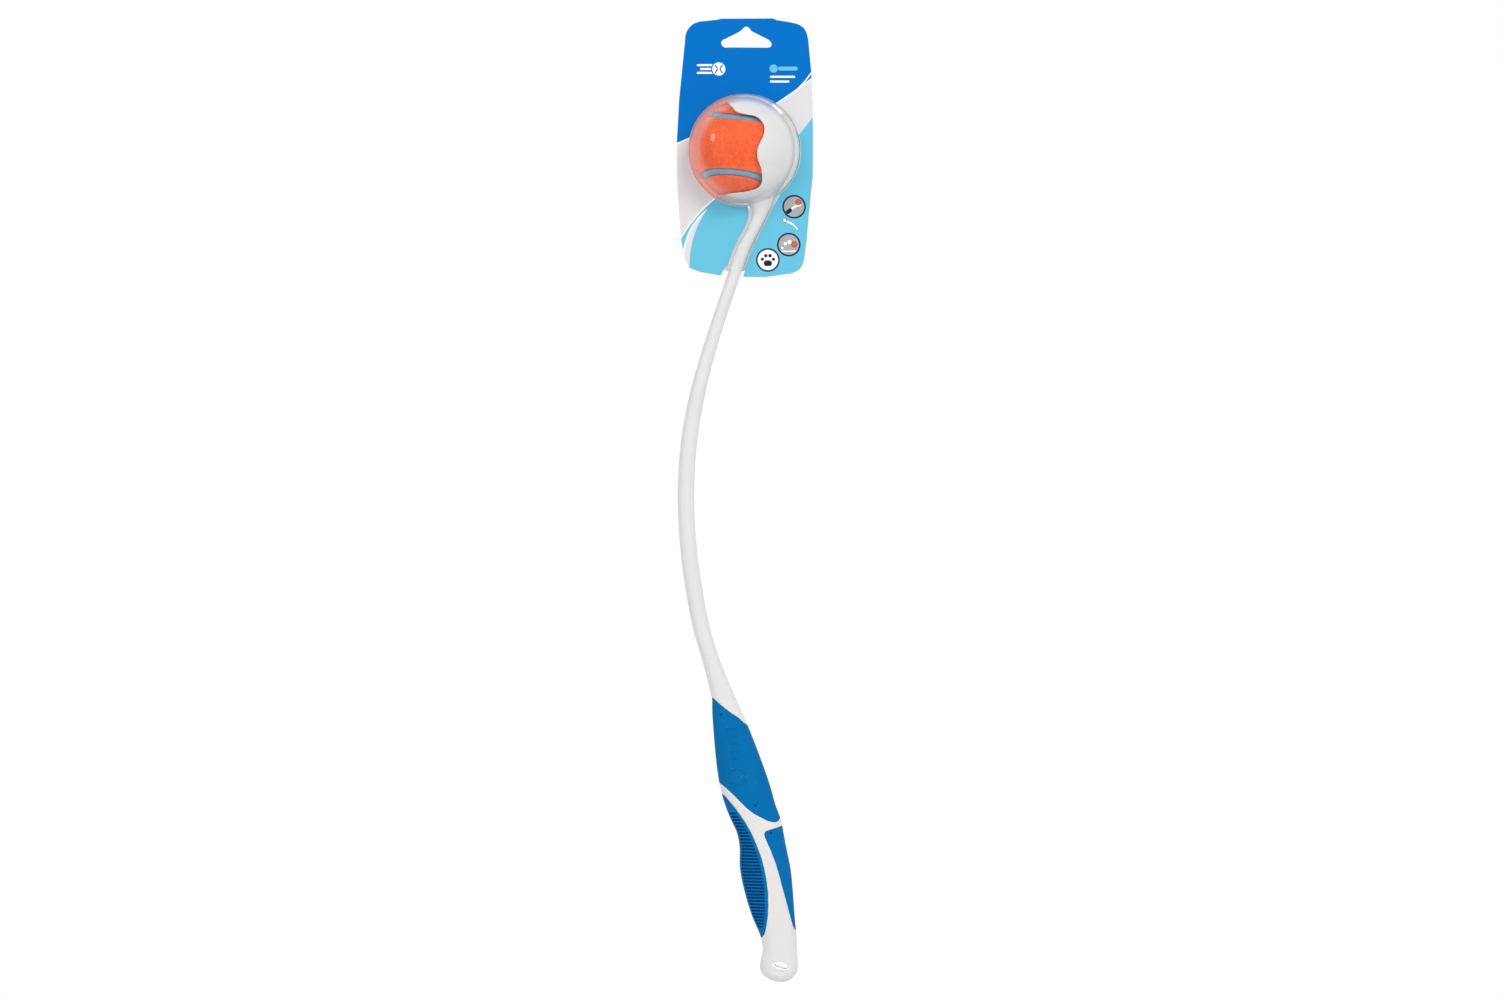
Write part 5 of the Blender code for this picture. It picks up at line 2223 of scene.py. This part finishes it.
@dataclass(frozen=True)
class Studio:
    """A white studio: a pale floor, soft lamps and the photograph's camera.

    The rays that see it find it white, and those that light the object find it dimmer.
    """

    camera_place: Triple = (0.0023, -3.7125, -0.3124)
    lens: float = 135.0
    sensor: float = 36.0
    aim: Triple = (0.0, 0.0, -0.31)
    seeing_rays: Names = ("Camera", "Glossy", "Transmission")
    floor_z: float = -0.70
    floor_radius: float = 1.2
    floor_sides: int = 96
    floor_grey: float = 0.9
    fade_shares: Pair = (0.15, 0.6)
    lighting: float = 0.55
    mirrored_front: float = 0.30
    front_span: Pair = (0.0, 0.12)
    lamps: tuple[Softbox, ...] = (
        Softbox((-1.5, -2.4, 1.1), 1.4, 26.0, False),
        Softbox((1.6, -1.9, 1.3), 0.8, 38.0, False),
        Softbox((-2.16, -1.17, 0.75), 0.5, 5.0, True),
        Softbox((1.1, 1.85, 1.07), 0.6, 8.0, True),
    )

    def camera(self) -> None:
        """Place the camera at the photograph's viewing angle."""
        data = bpy.data.cameras.new("camera")
        data.lens = self.lens
        data.sensor_width = self.sensor
        camera = bpy.data.objects.new("camera", data)
        camera.location = self.camera_place
        camera.rotation_euler = (math.pi / 2, 0, 0)
        bpy.context.scene.collection.objects.link(camera)
        bpy.context.scene.camera = camera

    def light(self) -> None:
        """Hang the softboxes."""
        for index, lamp in enumerate(self.lamps):
            data = bpy.data.lights.new(f"softbox_{index}", "AREA")
            data.size = lamp.size
            data.energy = lamp.power
            box = bpy.data.objects.new(f"softbox_{index}", data)
            box.location = lamp.place
            box.visible_glossy = lamp.mirrored
            way = Vector(self.aim) - Vector(lamp.place)
            box.rotation_euler = way.to_track_quat("-Z", "Y").to_euler()
            bpy.context.scene.collection.objects.link(box)

    def world(self) -> None:
        """Surround the object with white, dimmer as a light and where it is mirrored in front."""
        world = bpy.data.worlds.new("studio")
        world.use_nodes = True
        graph = Graph(world.node_tree)
        lighting = world.node_tree.nodes["Background"]
        graph.feed(lighting, {"Color": WHITE, "Strength": self.lighting})
        way = graph.smoothstep(graph.parts(graph.add("TexCoord").outputs["Generated"])["Y"], *self.front_span)
        glow = graph.math("MULTIPLY_ADD", way, 1 - self.mirrored_front, self.mirrored_front)
        strength = graph.math("MAXIMUM", glow, graph.any_ray("Camera", "Transmission"))
        seen = graph.add("Background", {"Color": WHITE, "Strength": strength}).outputs[0]
        whole = graph.blend(graph.any_ray(*self.seeing_rays), lighting.outputs[0], seen)
        graph.feed(graph.tree.nodes["World Output"], {"Surface": whole})
        bpy.context.scene.world = world

    def floor(self) -> None:
        """Lay a round pale floor below the object, which fades to white at its edge."""
        rim = circle((0, 0), self.floor_radius, self.floor_sides)
        mesh = bpy.data.meshes.new("floor")
        mesh.from_pydata([(x, y, self.floor_z) for x, y in rim], [], [tuple(range(self.floor_sides))])
        floor = bpy.data.objects.new("floor", mesh)
        bpy.context.scene.collection.objects.link(floor)
        material, graph, shader = start_material("floor_white")
        grey = self.floor_grey
        graph.feed(shader, {"Base Color": (grey, grey, grey), "Roughness": grey})
        flat = graph.vector("MULTIPLY", "Vector", own_place(graph), (1, 1, 0))
        length = graph.vector("LENGTH", "Value", flat)
        fade = graph.smoothstep(length, *(share * self.floor_radius for share in self.fade_shares))
        share = graph.times(fade, graph.any_ray(*self.seeing_rays))
        glow = graph.add("Emission", {"Color": WHITE, "Strength": 1.0}).outputs[0]
        mixed = graph.blend(share, shader.outputs[0], glow)
        graph.feed(graph.tree.nodes["Material Output"], {"Surface": mixed})
        mesh.materials.append(material)

    def build(self) -> None:
        """Set up the whole studio."""
        self.camera()
        self.light()
        self.world()
        self.floor()
        bpy.context.scene.view_settings.view_transform = "Standard"


def main() -> None:
    """Build the studio and every piece of the object."""
    logging.basicConfig(level=logging.INFO, format="%(name)s %(message)s")
    form = ArmForm()
    Studio().build()
    grips = SoftGrips(form)
    ThrowingArm(form).build(grips.pockets(), MouldedPlastic())
    grips.build(SoftRubber())
    seam = CuredRubber((0.165, 0.300, 0.420), (0.235, 0.375, 0.500))
    core = CuredRubber((0.020, 0.020, 0.022), (0.045, 0.045, 0.047))
    FeltBall(form).build(NappedFelt(), seam, core)
    ShopPack(form).build(ClearSheet())


if __name__ == "__main__":
    main()
